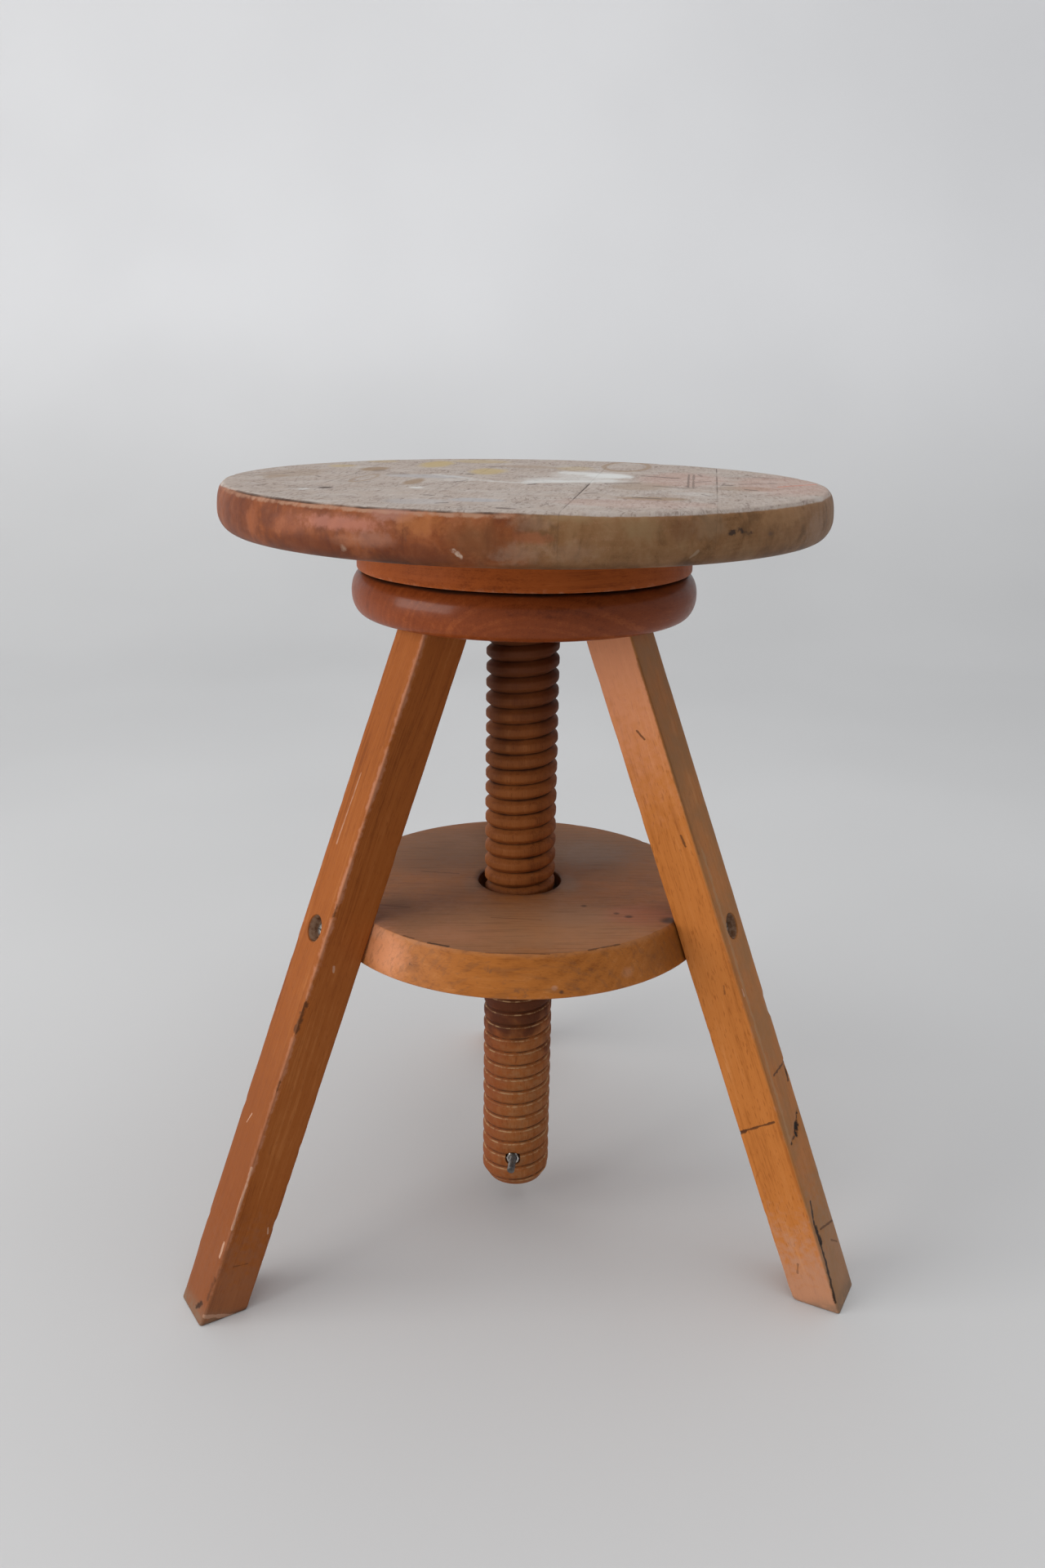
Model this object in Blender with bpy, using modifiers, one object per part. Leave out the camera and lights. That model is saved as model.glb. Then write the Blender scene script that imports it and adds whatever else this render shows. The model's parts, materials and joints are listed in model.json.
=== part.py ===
"""Three-legged stool with a wooden height screw.

A glued-up round seat sits on a flange. The flange is socketed over a threaded wooden spindle, which
turns in a hub that three splayed legs carry. A lower disc ties the legs together and lets the spindle
through. A bolt across the spindle's foot meets the disc's underside, so the seat can't be unscrewed.

Everything is made about the spindle's axis, with the floor at z = 0, and parented to one empty, which
puts the middle of the stool's bounding box over the origin. Metres, +Z up.
"""

import math

import bmesh
import bpy
from mathutils import Matrix, Vector

MM = 0.001
GAP = 0.3 * MM  # left between pieces that touch
OVERRUN = 5.0 * MM  # how far a cutter runs on past what it cuts

# Seat: five edge-glued boards turned to a round with a full rim
SEAT_RADIUS = 180.0 * MM
SEAT_TOP = 493.3 * MM
SEAT_THICKNESS = 27.4 * MM
SEAT_BOTTOM = SEAT_TOP - SEAT_THICKNESS
SEAT_ARRIS_RADIUS = 176.4 * MM  # the crisp edge round the top
SEAT_ARRIS_CHAMFER = (0.8 * MM, 0.6 * MM)  # the edge's worn bevel, across and down
SEAT_FOOT_RADIUS = 170.5 * MM  # where the rim meets the flat underside
SEAT_BELLY_Z = SEAT_BOTTOM + 12.0 * MM  # height of the widest point
SEAT_SEGMENTS = 80
BOARD_COUNT = 5
BOARD_WIDTH = 73.5 * MM
BOARD_SHIFT = 2.25 * MM  # the middle board's centre line, off the axis
GRAIN_TURN = math.radians(-10.5)  # the boards run along +Y turned by this

# Flange under the seat
FLANGE_RADIUS = 101.1 * MM
FLANGE_BOTTOM = 442.3 * MM
FLANGE_TOP = SEAT_BOTTOM - GAP
FLANGE_CHAMFER = 1.0 * MM
ROUND_SEGMENTS = 64
RIM_STEPS = 4  # facets in each half of a bullnosed rim

# Hub, a thick bullnosed disc with the female thread
HUB_RADIUS = 104.4 * MM
HUB_FACE_RADIUS = 96.5 * MM
HUB_BOTTOM = 415.3 * MM
HUB_TOP = 441.3 * MM
HUB_BELLY_Z = 428.6 * MM
HUB_LEAD_IN = 4.0 * MM  # the chamfers at the thread's mouths
BORE_SEGMENTS = 36

# Wooden screw: one start, right-handed, rounded crests over V grooves
PITCH = 9.81 * MM
CREST_RADIUS = 22.85 * MM
THREAD_DEPTH = 3.4 * MM
CREST_FLAT = 3.0 * MM
CREST_Z_AT_X = 385.0 * MM  # a crest passes this height on the +X side
THREAD_PLAY = 0.8 * MM  # radial play of the screw in the hub
TURN_SEGMENTS = 18
SPARE_TURNS = 2  # made above and below the screw, then cut off
SPINDLE_BOTTOM = 19.0 * MM
SPINDLE_TOP = FLANGE_BOTTOM - GAP
SPINDLE_END_RADIUS = 18.5 * MM
SPINDLE_END_CHAMFER = 7.0 * MM
SPINDLE_TENON_RADIUS = 17.5 * MM
SPINDLE_TENON_TOP = 458.0 * MM
BLANK_TURN = math.radians(3.0)  # so that the blank's facets' edges miss the thread's

# Legs: rectangular bars, splayed, cut level at both ends, with a round tenon into the hub
LEG_AZIMUTHS = {"left": 210.0, "right": 330.0, "rear": 90.0}
LEG_SPLAY = math.radians(21.1)
LEG_WIDTH = 32.8 * MM  # across, along the tangent
LEG_DEPTH = 28.8 * MM  # square to the outer face
LEG_FOOT_REACH = 236.5 * MM  # outer face at the floor, from the axis
LEG_ARRIS = 1.2 * MM
LEG_TENON_RADIUS = 10.0 * MM
LEG_TENON_TOP = 433.0 * MM
LEG_TENON_ROOT = HUB_BOTTOM - 25.0 * MM  # where the tenon's rod starts, inside the bar
LEG_SPARE = 40.0 * MM  # the bar's extra length at each end, before it is cut level
PEG_SEGMENTS = 24

# Lower disc, with its rim turned to the legs' slope
DISC_TOP = 238.4 * MM
DISC_BOTTOM = 213.4 * MM
DISC_TOP_RADIUS = 114.6 * MM
DISC_BOTTOM_RADIUS = 122.5 * MM
DISC_HOLE_RADIUS = 26.85 * MM

# Screws that hold the legs to the disc, sunk in counterbores
LEG_SCREW_Z = 236.7 * MM  # where its axis leaves the leg's outer face
LEG_SCREW_SINK = 7.0 * MM
LEG_SCREW_BORE_RADIUS = 8.0 * MM
LEG_SCREW_LENGTH = 45.0 * MM
LEG_SCREW_SLOT = 1.2 * MM
LEG_SCREW_SLOT_FLOOR = 1.8 * MM  # above the head's seat

# Screws up through the flange into the seat, and the one that draws the spindle into the flange
SEAT_SCREW_COUNT = 4
SEAT_SCREW_CIRCLE = 75.0 * MM
SEAT_SCREW_LENGTH = 35.0 * MM
LAG_SCREW_LENGTH = 60.0 * MM
LAG_SHANK_RADIUS = 3.5 * MM

# All wood screws. A head is its (radius, height) points from the top down to the shank
SHANK_RADIUS = 2.5 * MM
SCREW_POINT = 6.0 * MM
SCREW_SEGMENTS = 16
PAN_HEAD = ((3.0 * MM, 3.0 * MM), (4.7 * MM, 1.8 * MM), (4.7 * MM, 0), (SHANK_RADIUS, 0))
FLAT_HEAD = ((4.8 * MM, 0), (4.8 * MM, -0.4 * MM), (SHANK_RADIUS, -3.0 * MM))
LAG_HEAD = ((6.5 * MM, 0), (6.5 * MM, -0.5 * MM), (LAG_SHANK_RADIUS, -4.0 * MM))

# Stop bolt across the spindle's foot
STOP_Z = 41.5 * MM
STOP_TURN = math.radians(-97.7)  # azimuth of its free end
STOP_RADIUS = 2.5 * MM
STOP_END = 36.0 * MM  # from the axis to the free end
STOP_SEAT = 17.8 * MM  # from the axis to the nut's and the head's bearing faces
STOP_NUT_HEIGHT = 4.0 * MM
STOP_HEAD_HEIGHT = 3.5 * MM
STOP_HEX_RADIUS = 4.62 * MM  # 8 mm across the flats
STOP_POCKET_RADIUS = 5.2 * MM
STOP_CHAMFER = 0.6 * MM
STOP_SEGMENTS = 20

# The axis stands off the origin, because the rear leg reaches further out than the seat's front
AXIS_Y = -(LEG_FOOT_REACH - SEAT_RADIUS) / 2

SEAT_WOOD = ((0.40, 0.27, 0.20), 0.6)
ORANGE_WOOD = ((0.52, 0.20, 0.06), 0.4)
SCREW_WOOD = ((0.36, 0.14, 0.06), 0.6)
STEEL = ((0.42, 0.41, 0.40), 0.35)


def clear_scene():
    for obj in list(bpy.data.objects):
        bpy.data.objects.remove(obj, do_unlink=True)


def new_group(name):
    group = bpy.data.collections.new(name)
    bpy.context.scene.collection.children.link(group)
    return group


def new_object(name, mesh, group):
    obj = bpy.data.objects.new(name, mesh)
    group.objects.link(obj)
    obj.parent = ROOT
    if group is CUTTERS:
        obj.hide_render = True
        obj.display_type = "WIRE"
    return obj


def turned(name, profile, segments, group):
    """A turned solid about local Z, from (radius, z) points that run from top to bottom."""
    mesh = bpy.data.meshes.new(name)
    points = [(radius, 0.0, z) for radius, z in profile]
    mesh.from_pydata(points, [(i, i + 1) for i in range(len(points) - 1)], [])
    obj = new_object(name, mesh, group)
    screw = obj.modifiers.new("turn", "SCREW")
    screw.axis = "Z"
    screw.angle = math.tau
    screw.steps = segments
    screw.render_steps = segments
    screw.use_merge_vertices = True
    screw.merge_threshold = 0.00001
    return obj


def ring(name, profile, segments, group):
    """A turned solid with a hole: its profile is closed, so it never meets the axis."""
    obj = turned(name, profile + profile[:1], segments, group)
    weld = obj.modifiers.new("weld", "WELD")
    weld.merge_threshold = 0.00001
    return obj


def box(name, low, high, group):
    mesh = bpy.data.meshes.new(name)
    bm = bmesh.new()
    bmesh.ops.create_cube(bm, size=1.0)
    size = Vector(high) - Vector(low)
    bmesh.ops.scale(bm, vec=size, verts=bm.verts)
    bmesh.ops.translate(bm, vec=Vector(low) + size / 2, verts=bm.verts)
    bm.to_mesh(mesh)
    bm.free()
    return new_object(name, mesh, group)


def rod(name, radius, low, high, segments, group):
    """A plain cylinder or prism about local Z, from low to high."""
    mesh = bpy.data.meshes.new(name)
    bm = bmesh.new()
    ends = {"radius1": radius, "radius2": radius, "depth": high - low}
    bmesh.ops.create_cone(bm, cap_ends=True, segments=segments, **ends)
    bmesh.ops.translate(bm, vec=(0, 0, (low + high) / 2), verts=bm.verts)
    bm.to_mesh(mesh)
    bm.free()
    return new_object(name, mesh, group)


def boolean(obj, other, operation):
    modifier = obj.modifiers.new(operation.lower() + " " + other.name, "BOOLEAN")
    modifier.operation = operation
    modifier.solver = "EXACT"
    modifier.object = other


def cut(obj, *cutters):
    for cutter in cutters:
        boolean(obj, cutter, "DIFFERENCE")


def bake(obj, finish):
    """Applies the modifiers, shades the curved faces smooth and gives the piece its own material."""
    bpy.context.view_layer.update()
    mesh = bpy.data.meshes.new_from_object(obj.evaluated_get(bpy.context.evaluated_depsgraph_get()))
    mesh.name = obj.name
    obj.modifiers.clear()
    obj.data = mesh
    mesh.shade_smooth()
    mesh.set_sharp_from_angle(angle=math.radians(35))
    colour, roughness = finish
    material = bpy.data.materials.new(obj.name)
    material.use_nodes = True
    shader = material.node_tree.nodes["Principled BSDF"]
    shader.inputs["Base Color"].default_value = (*colour, 1.0)
    shader.inputs["Roughness"].default_value = roughness
    shader.inputs["Metallic"].default_value = 1.0 if finish is STEEL else 0.0
    mesh.materials.clear()
    mesh.materials.append(material)
    return obj


def quarter(radius, centre_z, bulge, rise, steps, start, stop):
    """Points on a quarter ellipse, from angle start to stop in degrees, in a (radius, z) profile."""
    points = []
    for i in range(steps + 1):
        angle = math.radians(start + (stop - start) * i / steps)
        points.append((radius + bulge * math.cos(angle), centre_z + rise * math.sin(angle)))
    return points


def leg_radius(z):
    """Distance of a leg's centre line from the axis at height z."""
    half_slice = LEG_DEPTH / math.cos(LEG_SPLAY) / 2
    return LEG_FOOT_REACH - half_slice - z * math.tan(LEG_SPLAY)


def leg_frame(azimuth):
    """Local Z up a leg's centre line from the floor, local X out of its outer face."""
    lean = Matrix.Rotation(-LEG_SPLAY, 4, "Y")
    out = Matrix.Translation((leg_radius(0.0), 0, 0))
    return Matrix.Rotation(math.radians(azimuth), 4, "Z") @ out @ lean


def up_leg(z):
    """Distance along a leg's centre line to height z."""
    return z / math.cos(LEG_SPLAY)


def leg_screw_frame(azimuth, sink):
    """Local Z out along a leg screw, with the origin that far below the leg's outer face."""
    below = LEG_DEPTH / 2 * math.sin(LEG_SPLAY)
    along = up_leg(LEG_SCREW_Z - below)
    place = Matrix.Translation((LEG_DEPTH / 2 - sink, 0, along))
    return leg_frame(azimuth) @ place @ Matrix.Rotation(math.pi / 2, 4, "Y")


def threaded_rod(name, grow, low, high, group):
    """A screw thread about Z, grown outwards by grow, and cut square at low and high.

    Every column of points is one groove profile repeated up the rod. Each column stands a little
    higher than the one before, so the last joins the first one turn up.
    """
    profile = (
        (CREST_RADIUS + grow, -CREST_FLAT / 2),
        (CREST_RADIUS + grow, CREST_FLAT / 2),
        (CREST_RADIUS - THREAD_DEPTH + grow, PITCH / 2),
    )
    first = math.floor((low - CREST_Z_AT_X) / PITCH) - SPARE_TURNS
    last = math.ceil((high - CREST_Z_AT_X) / PITCH) + SPARE_TURNS
    bm = bmesh.new()
    columns = []
    for i in range(TURN_SEGMENTS):
        turn = i / TURN_SEGMENTS
        angle = math.tau * turn
        column = []
        for k in range(first, last):
            for radius, dz in profile:
                z = CREST_Z_AT_X + PITCH * (k + turn) + dz
                column.append(bm.verts.new((radius * math.cos(angle), radius * math.sin(angle), z)))
        columns.append(column)
    for i, column in enumerate(columns):
        closing = i == TURN_SEGMENTS - 1
        beside = columns[0][len(profile):] if closing else columns[i + 1]
        for j in range(min(len(column), len(beside)) - 1):
            bm.faces.new((column[j], beside[j], beside[j + 1], column[j + 1]))
    for z, side in ((low, -1), (high, 1)):
        geometry = bm.verts[:] + bm.edges[:] + bm.faces[:]
        sliced = bmesh.ops.bisect_plane(
            bm, geom=geometry, plane_co=(0, 0, z), plane_no=(0, 0, side), clear_outer=True
        )
        rim = [e for e in sliced["geom_cut"] if isinstance(e, bmesh.types.BMEdge)]
        bmesh.ops.contextual_create(bm, geom=rim)
    bmesh.ops.delete(bm, geom=[v for v in bm.verts if not v.link_faces], context="VERTS")
    bmesh.ops.recalc_face_normals(bm, faces=bm.faces)
    mesh = bpy.data.meshes.new(name)
    bm.to_mesh(mesh)
    bm.free()
    return new_object(name, mesh, group)


def wood_screw(name, head, shank_radius, length, group):
    """A screw about local Z with its tip down: head is its (radius, z) points, from the top."""
    profile = [(0, head[0][1]), *head, (shank_radius, SCREW_POINT - length), (0, -length)]
    return turned(name, profile, SCREW_SEGMENTS, group)


def screw_hole(name, head, shank_radius, length):
    """The space that a wood screw needs, with its clearance, open above the head."""
    above = 2 * OVERRUN
    profile = [(0, above), (head[0][0] + GAP, above)]
    profile += [(radius + GAP, z) for radius, z in head]
    profile += [(shank_radius + GAP, SCREW_POINT - length), (0, -length - GAP)]
    return turned(name, profile, SCREW_SEGMENTS, CUTTERS)


def make_seat_boards(screw_places):
    across, down = SEAT_ARRIS_CHAMFER
    rim = [(0, SEAT_TOP), (SEAT_ARRIS_RADIUS - across, SEAT_TOP)]
    bulge, rise = SEAT_RADIUS - SEAT_ARRIS_RADIUS, SEAT_TOP - SEAT_BELLY_Z - down
    rim += quarter(SEAT_ARRIS_RADIUS, SEAT_BELLY_Z, bulge, rise, RIM_STEPS, 90, 0)
    bulge, fall = SEAT_RADIUS - SEAT_FOOT_RADIUS, SEAT_BELLY_Z - SEAT_BOTTOM
    rim += quarter(SEAT_FOOT_RADIUS, SEAT_BELLY_Z, bulge, fall, RIM_STEPS, 0, -90)[1:]
    rim.append((0, SEAT_BOTTOM))
    for i in range(BOARD_COUNT):
        name = f"seat_board_{i + 1}"
        board = turned(name, rim, SEAT_SEGMENTS, PARTS)
        centre = BOARD_SHIFT + (i - (BOARD_COUNT - 1) / 2) * BOARD_WIDTH
        left = centre - BOARD_WIDTH / 2 + GAP / 2
        right = centre + BOARD_WIDTH / 2 - GAP / 2
        if i == 0:
            left = -2 * SEAT_RADIUS
        if i == BOARD_COUNT - 1:
            right = 2 * SEAT_RADIUS
        plank = box(name + "_plank", (left, -2 * SEAT_RADIUS, 0), (right, 2 * SEAT_RADIUS, 1), CUTTERS)
        plank.rotation_euler.z = GRAIN_TURN
        boolean(board, plank, "INTERSECT")
        for k, (x, y) in enumerate(screw_places):
            on_board = Matrix.Rotation(-GRAIN_TURN, 2) @ Vector((x, y))
            if left < on_board.x < right:
                pilot = screw_hole(f"{name}_pilot_{k}", FLAT_HEAD, SHANK_RADIUS, SEAT_SCREW_LENGTH)
                pilot.location = (x, y, FLANGE_BOTTOM + GAP)
                pilot.rotation_euler.x = math.pi
                cut(board, pilot)
        bake(board, SEAT_WOOD)


def make_flange(screw_places):
    c = FLANGE_CHAMFER
    profile = [(0, FLANGE_TOP), (FLANGE_RADIUS, FLANGE_TOP), (FLANGE_RADIUS, FLANGE_BOTTOM + c)]
    socket_radius = SPINDLE_TENON_RADIUS + GAP
    profile += [(FLANGE_RADIUS - c, FLANGE_BOTTOM), (socket_radius, FLANGE_BOTTOM)]
    profile += [(socket_radius, SPINDLE_TENON_TOP), (0, SPINDLE_TENON_TOP)]
    flange = turned("seat_flange", profile, ROUND_SEGMENTS, PARTS)
    lag = screw_hole("lag_clearance", LAG_HEAD, LAG_SHANK_RADIUS, LAG_SCREW_LENGTH)
    lag.location.z = FLANGE_TOP - GAP
    cut(flange, lag)
    for k, (x, y) in enumerate(screw_places):
        hole = screw_hole(f"seat_screw_hole_{k}", FLAT_HEAD, SHANK_RADIUS, SEAT_SCREW_LENGTH)
        hole.location = (x, y, FLANGE_BOTTOM + GAP)
        hole.rotation_euler.x = math.pi
        cut(flange, hole)
    bake(flange, ORANGE_WOOD)


def make_seat_screws(screw_places):
    for k, (x, y) in enumerate(screw_places):
        screw = wood_screw(f"seat_screw_{k + 1}", FLAT_HEAD, SHANK_RADIUS, SEAT_SCREW_LENGTH, PARTS)
        screw.location = (x, y, FLANGE_BOTTOM + GAP)
        screw.rotation_euler.x = math.pi
        bake(screw, STEEL)


def make_lag_screw():
    lag = wood_screw("spindle_lag_screw", LAG_HEAD, LAG_SHANK_RADIUS, LAG_SCREW_LENGTH, PARTS)
    lag.location.z = FLANGE_TOP - GAP
    bake(lag, STEEL)


def make_spindle():
    spindle = threaded_rod("screw_spindle", 0.0, SPINDLE_BOTTOM, SPINDLE_TENON_TOP, PARTS)
    clear = CREST_RADIUS + OVERRUN
    envelope = [(0, SPINDLE_TENON_TOP - GAP), (SPINDLE_TENON_RADIUS, SPINDLE_TENON_TOP - GAP)]
    envelope += [(SPINDLE_TENON_RADIUS, SPINDLE_TOP), (clear, SPINDLE_TOP)]
    end_slope = (CREST_RADIUS - SPINDLE_END_RADIUS) / SPINDLE_END_CHAMFER
    chamfer_top = SPINDLE_BOTTOM + (clear - SPINDLE_END_RADIUS) / end_slope
    envelope += [(clear, chamfer_top), (SPINDLE_END_RADIUS, SPINDLE_BOTTOM), (0, SPINDLE_BOTTOM)]
    blank = turned("spindle_blank", envelope, BORE_SEGMENTS, CUTTERS)
    blank.rotation_euler.z = BLANK_TURN
    boolean(spindle, blank, "INTERSECT")
    pilot = screw_hole("lag_pilot", LAG_HEAD, LAG_SHANK_RADIUS, LAG_SCREW_LENGTH)
    pilot.location.z = FLANGE_TOP - GAP
    cut(spindle, pilot)
    reach = CREST_RADIUS + OVERRUN
    seat = STOP_SEAT - GAP
    holes = {
        "bore": (STOP_RADIUS + GAP, -reach, reach),
        "nut_pocket": (STOP_POCKET_RADIUS, seat, reach),
        "head_pocket": (STOP_POCKET_RADIUS, -reach, -seat),
    }
    for name, (radius, low, high) in holes.items():
        cut(spindle, lying(rod("stop_" + name, radius, low, high, STOP_SEGMENTS, CUTTERS)))
    bake(spindle, SCREW_WOOD)


def lying(obj):
    """Turns a piece made about local Z to lie along the stop bolt."""
    obj.rotation_euler = (0, math.pi / 2, STOP_TURN)
    obj.location.z = STOP_Z
    return obj


def make_stop():
    c = STOP_CHAMFER
    inside_head = -STOP_SEAT - STOP_HEAD_HEIGHT / 2
    profile = [(0, STOP_END), (STOP_RADIUS - c, STOP_END), (STOP_RADIUS, STOP_END - c)]
    profile += [(STOP_RADIUS, inside_head), (0, inside_head)]
    bolt = lying(turned("stop_bolt", profile, SCREW_SEGMENTS, PARTS))
    low, high = -STOP_SEAT - STOP_HEAD_HEIGHT, -STOP_SEAT
    boolean(bolt, lying(rod("stop_bolt_head", STOP_HEX_RADIUS, low, high, 6, CUTTERS)), "UNION")
    bake(bolt, STEEL)
    nut = lying(rod("stop_nut", STOP_HEX_RADIUS, STOP_SEAT, STOP_SEAT + STOP_NUT_HEIGHT, 6, PARTS))
    cut(nut, lying(rod("stop_nut_bore", STOP_RADIUS + GAP, 0, STOP_END, SCREW_SEGMENTS, CUTTERS)))
    bake(nut, STEEL)


def make_hub():
    bulge = HUB_RADIUS - HUB_FACE_RADIUS
    profile = [(0, HUB_TOP)]
    profile += quarter(HUB_FACE_RADIUS, HUB_BELLY_Z, bulge, HUB_TOP - HUB_BELLY_Z, RIM_STEPS, 90, 0)
    profile += quarter(HUB_FACE_RADIUS, HUB_BELLY_Z, bulge, HUB_BELLY_Z - HUB_BOTTOM, RIM_STEPS, 0, -90)[1:]
    profile.append((0, HUB_BOTTOM))
    hub = turned("hub", profile, ROUND_SEGMENTS, PARTS)
    tap = threaded_rod("hub_tap", THREAD_PLAY, HUB_BOTTOM - OVERRUN, HUB_TOP + OVERRUN, CUTTERS)
    lead = HUB_LEAD_IN
    mouth = CREST_RADIUS + THREAD_PLAY + MM
    funnel = [(0, HUB_TOP + lead), (mouth + lead, HUB_TOP + lead), (mouth - lead, HUB_TOP - lead)]
    funnel += [(mouth - lead, HUB_BOTTOM + lead), (mouth + lead, HUB_BOTTOM - lead), (0, HUB_BOTTOM - lead)]
    cut(hub, tap, turned("hub_lead_in", funnel, BORE_SEGMENTS, CUTTERS))
    for side, azimuth in LEG_AZIMUTHS.items():
        low, high = up_leg(LEG_TENON_ROOT), up_leg(LEG_TENON_TOP) + GAP
        socket = rod(f"leg_socket_{side}", LEG_TENON_RADIUS + GAP, low, high, PEG_SEGMENTS, CUTTERS)
        socket.matrix_basis = leg_frame(azimuth)
        cut(hub, socket)
    bake(hub, ORANGE_WOOD)


def leg_bar(name, grow, group):
    """A leg's whole bar in its own frame, longer than the leg at both ends."""
    half_depth, half_width = LEG_DEPTH / 2 + grow, LEG_WIDTH / 2 + grow
    low = (-half_depth, -half_width, -LEG_SPARE)
    high = (half_depth, half_width, up_leg(HUB_BOTTOM) + LEG_SPARE)
    return box(name, low, high, group)


def make_legs():
    bar = leg_bar("leg_left", 0.0, PARTS)
    bar.matrix_basis = leg_frame(0.0)
    arris = bar.modifiers.new("worn arris", "BEVEL")
    arris.width = LEG_ARRIS
    arris.segments = 2
    arris.limit_method = "ANGLE"
    reach = 2 * LEG_FOOT_REACH
    level = box("leg_level_cut", (-reach, -reach, 0), (reach, reach, HUB_BOTTOM - GAP), CUTTERS)
    boolean(bar, level, "INTERSECT")
    low, high = up_leg(LEG_TENON_ROOT), up_leg(LEG_TENON_TOP)
    tenon = rod("leg_tenon", LEG_TENON_RADIUS, low, high, PEG_SEGMENTS, CUTTERS)
    tenon.matrix_basis = leg_frame(0.0)
    boolean(bar, tenon, "UNION")
    pocket = rod("leg_screw_pocket", LEG_SCREW_BORE_RADIUS, 0, 2 * LEG_DEPTH, PEG_SEGMENTS, CUTTERS)
    shaft = rod("leg_screw_clearance", SHANK_RADIUS + GAP, -2 * LEG_DEPTH, LEG_DEPTH, SCREW_SEGMENTS, CUTTERS)
    for cutter in (pocket, shaft):
        cutter.matrix_basis = leg_screw_frame(0.0, LEG_SCREW_SINK)
        cut(bar, cutter)
    bake(bar, ORANGE_WOOD)
    bar.data.transform(bar.matrix_basis)
    for side, azimuth in LEG_AZIMUTHS.items():
        leg = bar if side == "left" else new_object(f"leg_{side}", bar.data, PARTS)
        leg.matrix_basis = Matrix.Rotation(math.radians(azimuth), 4, "Z")


def make_disc():
    profile = [(DISC_HOLE_RADIUS, DISC_TOP), (DISC_TOP_RADIUS, DISC_TOP)]
    profile += [(DISC_BOTTOM_RADIUS, DISC_BOTTOM), (DISC_HOLE_RADIUS, DISC_BOTTOM)]
    disc = ring("lower_disc", profile, ROUND_SEGMENTS, PARTS)
    for side, azimuth in LEG_AZIMUTHS.items():
        seat = leg_bar(f"disc_flat_{side}", GAP, CUTTERS)
        seat.matrix_basis = leg_frame(azimuth)
        pilot = screw_hole(f"disc_pilot_{side}", PAN_HEAD, SHANK_RADIUS, LEG_SCREW_LENGTH)
        pilot.matrix_basis = leg_screw_frame(azimuth, LEG_SCREW_SINK - GAP)
        cut(disc, seat, pilot)
    bake(disc, ORANGE_WOOD)


def make_leg_screws():
    reach = PAN_HEAD[1][0] + OVERRUN
    for side, azimuth in LEG_AZIMUTHS.items():
        screw = wood_screw(f"leg_screw_{side}", PAN_HEAD, SHANK_RADIUS, LEG_SCREW_LENGTH, PARTS)
        low = (-LEG_SCREW_SLOT / 2, -reach, LEG_SCREW_SLOT_FLOOR)
        high = (LEG_SCREW_SLOT / 2, reach, OVERRUN)
        driver = box(f"leg_screw_slot_{side}", low, high, CUTTERS)
        for piece in (screw, driver):
            piece.matrix_basis = leg_screw_frame(azimuth, LEG_SCREW_SINK - GAP)
        cut(screw, driver)
        bake(screw, STEEL)


def seat_screw_places():
    """The seat screws stand on a circle, at 45 degrees to the boards."""
    places = []
    for k in range(SEAT_SCREW_COUNT):
        angle = GRAIN_TURN + math.tau * (k + 0.5) / SEAT_SCREW_COUNT
        places.append((SEAT_SCREW_CIRCLE * math.cos(angle), SEAT_SCREW_CIRCLE * math.sin(angle)))
    return places


clear_scene()
PARTS = new_group("three_leg_stool")
CUTTERS = new_group("cutters")
ROOT = bpy.data.objects.new("stool_axis", None)
ROOT.location.y = AXIS_Y
PARTS.objects.link(ROOT)

make_seat_boards(seat_screw_places())
make_flange(seat_screw_places())
make_seat_screws(seat_screw_places())
make_lag_screw()
make_spindle()
make_stop()
make_hub()
make_legs()
make_disc()
make_leg_screws()
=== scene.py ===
"""The look of the three-legged screw stool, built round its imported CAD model.

Every visible CAD node is replaced by a finer mesh of the same size, made about the spindle's axis, with
worn arrises, real threads and a procedural wood or steel. Sizes come from the frame where it has them.
"""

import json
import math

import bmesh
import bpy
from mathutils import Matrix, Vector, noise


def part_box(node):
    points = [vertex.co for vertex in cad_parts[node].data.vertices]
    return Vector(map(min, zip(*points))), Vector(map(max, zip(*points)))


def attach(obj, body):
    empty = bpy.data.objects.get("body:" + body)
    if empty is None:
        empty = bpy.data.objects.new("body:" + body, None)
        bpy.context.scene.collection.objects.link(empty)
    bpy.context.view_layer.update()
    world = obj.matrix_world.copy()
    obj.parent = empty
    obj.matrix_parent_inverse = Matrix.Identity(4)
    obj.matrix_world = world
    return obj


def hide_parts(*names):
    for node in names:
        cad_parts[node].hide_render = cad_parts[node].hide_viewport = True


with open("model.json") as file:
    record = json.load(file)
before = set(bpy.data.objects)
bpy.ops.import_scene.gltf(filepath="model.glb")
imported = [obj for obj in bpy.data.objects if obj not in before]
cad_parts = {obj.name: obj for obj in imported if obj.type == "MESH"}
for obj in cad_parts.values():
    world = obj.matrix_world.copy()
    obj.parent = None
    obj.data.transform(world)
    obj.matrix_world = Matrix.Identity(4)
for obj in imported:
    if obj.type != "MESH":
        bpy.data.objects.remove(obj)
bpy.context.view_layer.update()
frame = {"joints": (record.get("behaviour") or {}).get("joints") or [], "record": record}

MM = 0.001


def node_size(*nodes):
    """Lowest and highest corner of some CAD nodes together."""
    boxes = [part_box(node) for node in nodes]
    low = Vector([min(b[0][i] for b in boxes) for i in range(3)])
    high = Vector([max(b[1][i] for b in boxes) for i in range(3)])
    return low, high


def joint(name):
    return next(j for j in frame["joints"] if j["name"] == name)


# ------------------------------------------------------------------ sizes from the frame
BOARDS = [f"seat_board_{i}" for i in range(1, 6)]
AXIS = Vector((joint("seat_turn")["pos_m"][0], joint("seat_turn")["pos_m"][1], 0.0))
PITCH = frame["record"]["behaviour"]["couplings"][0]["ratio"] * math.tau

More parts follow.
